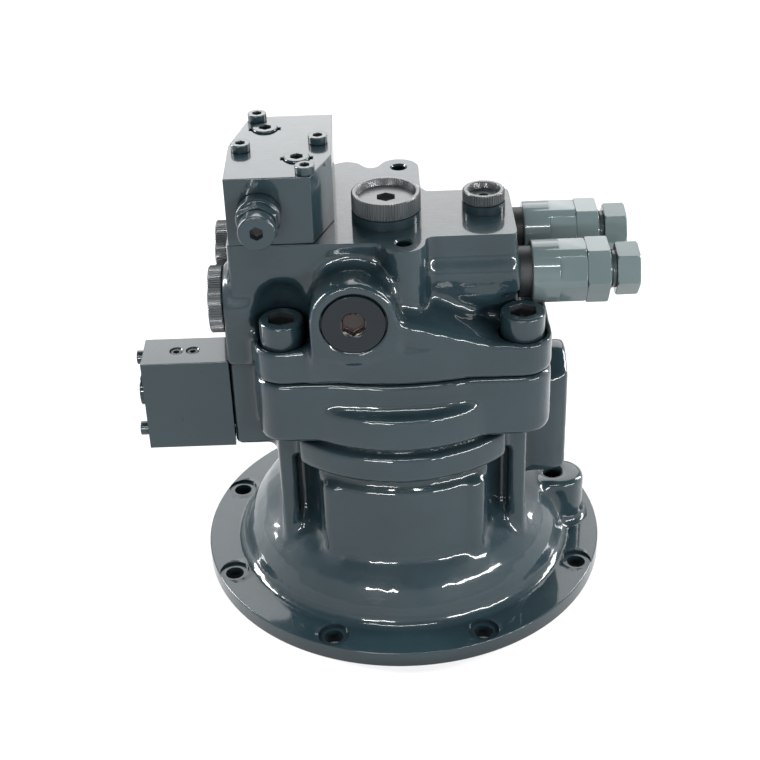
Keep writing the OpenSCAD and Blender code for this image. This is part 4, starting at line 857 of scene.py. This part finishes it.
def knurled_cap(radius, rim, dish, teeth, socket_af, stem_radius, stem):
    """Models a cap that stands on the origin with its dish upwards."""
    cap = toothed_cylinder(radius, rim, teeth)
    rim_r = radius - RIM_W
    step_r = rim_r - STEP_W
    select_where(cap, "FACE", lambda face: face.normal.z < -0.9)
    step_face(-CHAMFER, radius, radius - CHAMFER)
    select_where(cap, "FACE", lambda face: face.normal.z > 0.9)
    step_face(CHAMFER, radius, radius - CHAMFER)
    step_face(0, radius - CHAMFER, rim_r)
    step_face(-STEP_DEPTH, rim_r, step_r)
    step_face(STEP_DEPTH - dish, step_r, step_r - WALL_W)
    bpy.ops.object.mode_set(mode="OBJECT")
    cut(cap, [upright_rod(stem_radius, 0, 0, -stem, 1, 64)], "UNION")
    hexagon = upright_rod(socket_af / math.sqrt(3), 0, 0, rim - dish - SOCKET_DEPTH, rim, 6)
    return cut(cap, [hexagon])


def place(piece, turn, spot):
    """Turns a finished model and puts it at a spot in millimetres."""
    piece.matrix_world = Matrix.Translation(Vector(spot) * MM) @ turn
    return settle(piece)


print("rim, step and wall in mm:", RIM_W, STEP_W, WALL_W)

# %% [markdown]
# The top port and the drain port have one cap each, and the main ports A and B have two alike on the
# left. The same model makes all four, with the sizes of each thread.

# %% Caps on their ports
CAP_SMOOTH_ANGLE = 25
UPRIGHT = Matrix()
TO_THE_LEFT = Matrix.Rotation(math.radians(-90), 4, "Y")
PORT_FACE_X, PORT_Y, PORT_Z = -118.0, 35.0, 235.0


def finish_cap(cap, name, node_name):
    """Names a cap, gives it its finish and body, and hides the CAD node that it stands for."""
    cap.name = name
    finish_piece(cap, cap_paint, "housing", [node_name], CAP_SMOOTH_ANGLE)


top_cap = place(knurled_cap(23.3, 12.3, 4.5, 78, 12, 16.5, 15), UPRIGHT, (-6, -20, 292))
finish_cap(top_cap, "top_port_cap_knurled", "top_port_cap")
drain_cap = place(knurled_cap(14.3, 7.8, 5.0, 50, 6, 8.3, 10), UPRIGHT, (60, -11, 291.5))
finish_cap(drain_cap, "drain_port_cap_knurled", "drain_port_cap")
port_caps = join_all([
    place(knurled_cap(23.0, 9.6, 4.0, 78, 10, 16, 19), TO_THE_LEFT, (PORT_FACE_X, side * PORT_Y, PORT_Z))
    for side in (-1, 1)])
finish_cap(port_caps, "main_port_caps_knurled", "main_port_caps")

# %% [markdown]
# Coil springs shorten when the part that they push on moves, and each stands on a seat that stays. Here
# each spring is copied into a piece of its own mesh with its finish and body; the joint, axis, seat,
# length and travel in the table are not used yet, so the springs don't flatten.

# %% Springs
# Node, joint, axis, seat, length at rest and the joint's travel, in millimetres
SPRINGS = [
    ("make_up_spring_front", "front_make_up_open", (0, 1, 0), (-30, -69.95, 243), 13.9, 6),
    ("make_up_spring_rear", "rear_make_up_open", (0, 1, 0), (-30, 69.95, 243), 13.9, 6),
    ("relief_spring_front", "front_relief_open", (1, 0, 0), (108.4, -30.5, 245.5), 32.3, 3),
    ("relief_spring_rear", "rear_relief_open", (1, 0, 0), (108.4, 30.5, 245.5), 32.3, 3),
    ("brake_springs", "brake_release", (0, 0, 1), (0, 0, 205.95), 23.9, 2),
    ("reversal_spring", "reversal_spool_slide", (0, 1, 0), (-88.5, -58.95, 308.4), 22.9, 3),
    ("brake_spool_spring", "brake_spool_slide", (1, 0, 0), (-166.95, -32.7, 163), 14.9, 5),
]
for node_name, joint, axis, seat, length, travel in SPRINGS:
    spring = merged_copy(node_name, node_name + "_squashed")
    slot = slot_of[node_name]
    finish_piece(spring, SLOT_FINISH[slot], body_of(node_name), [node_name])
    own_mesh(spring)
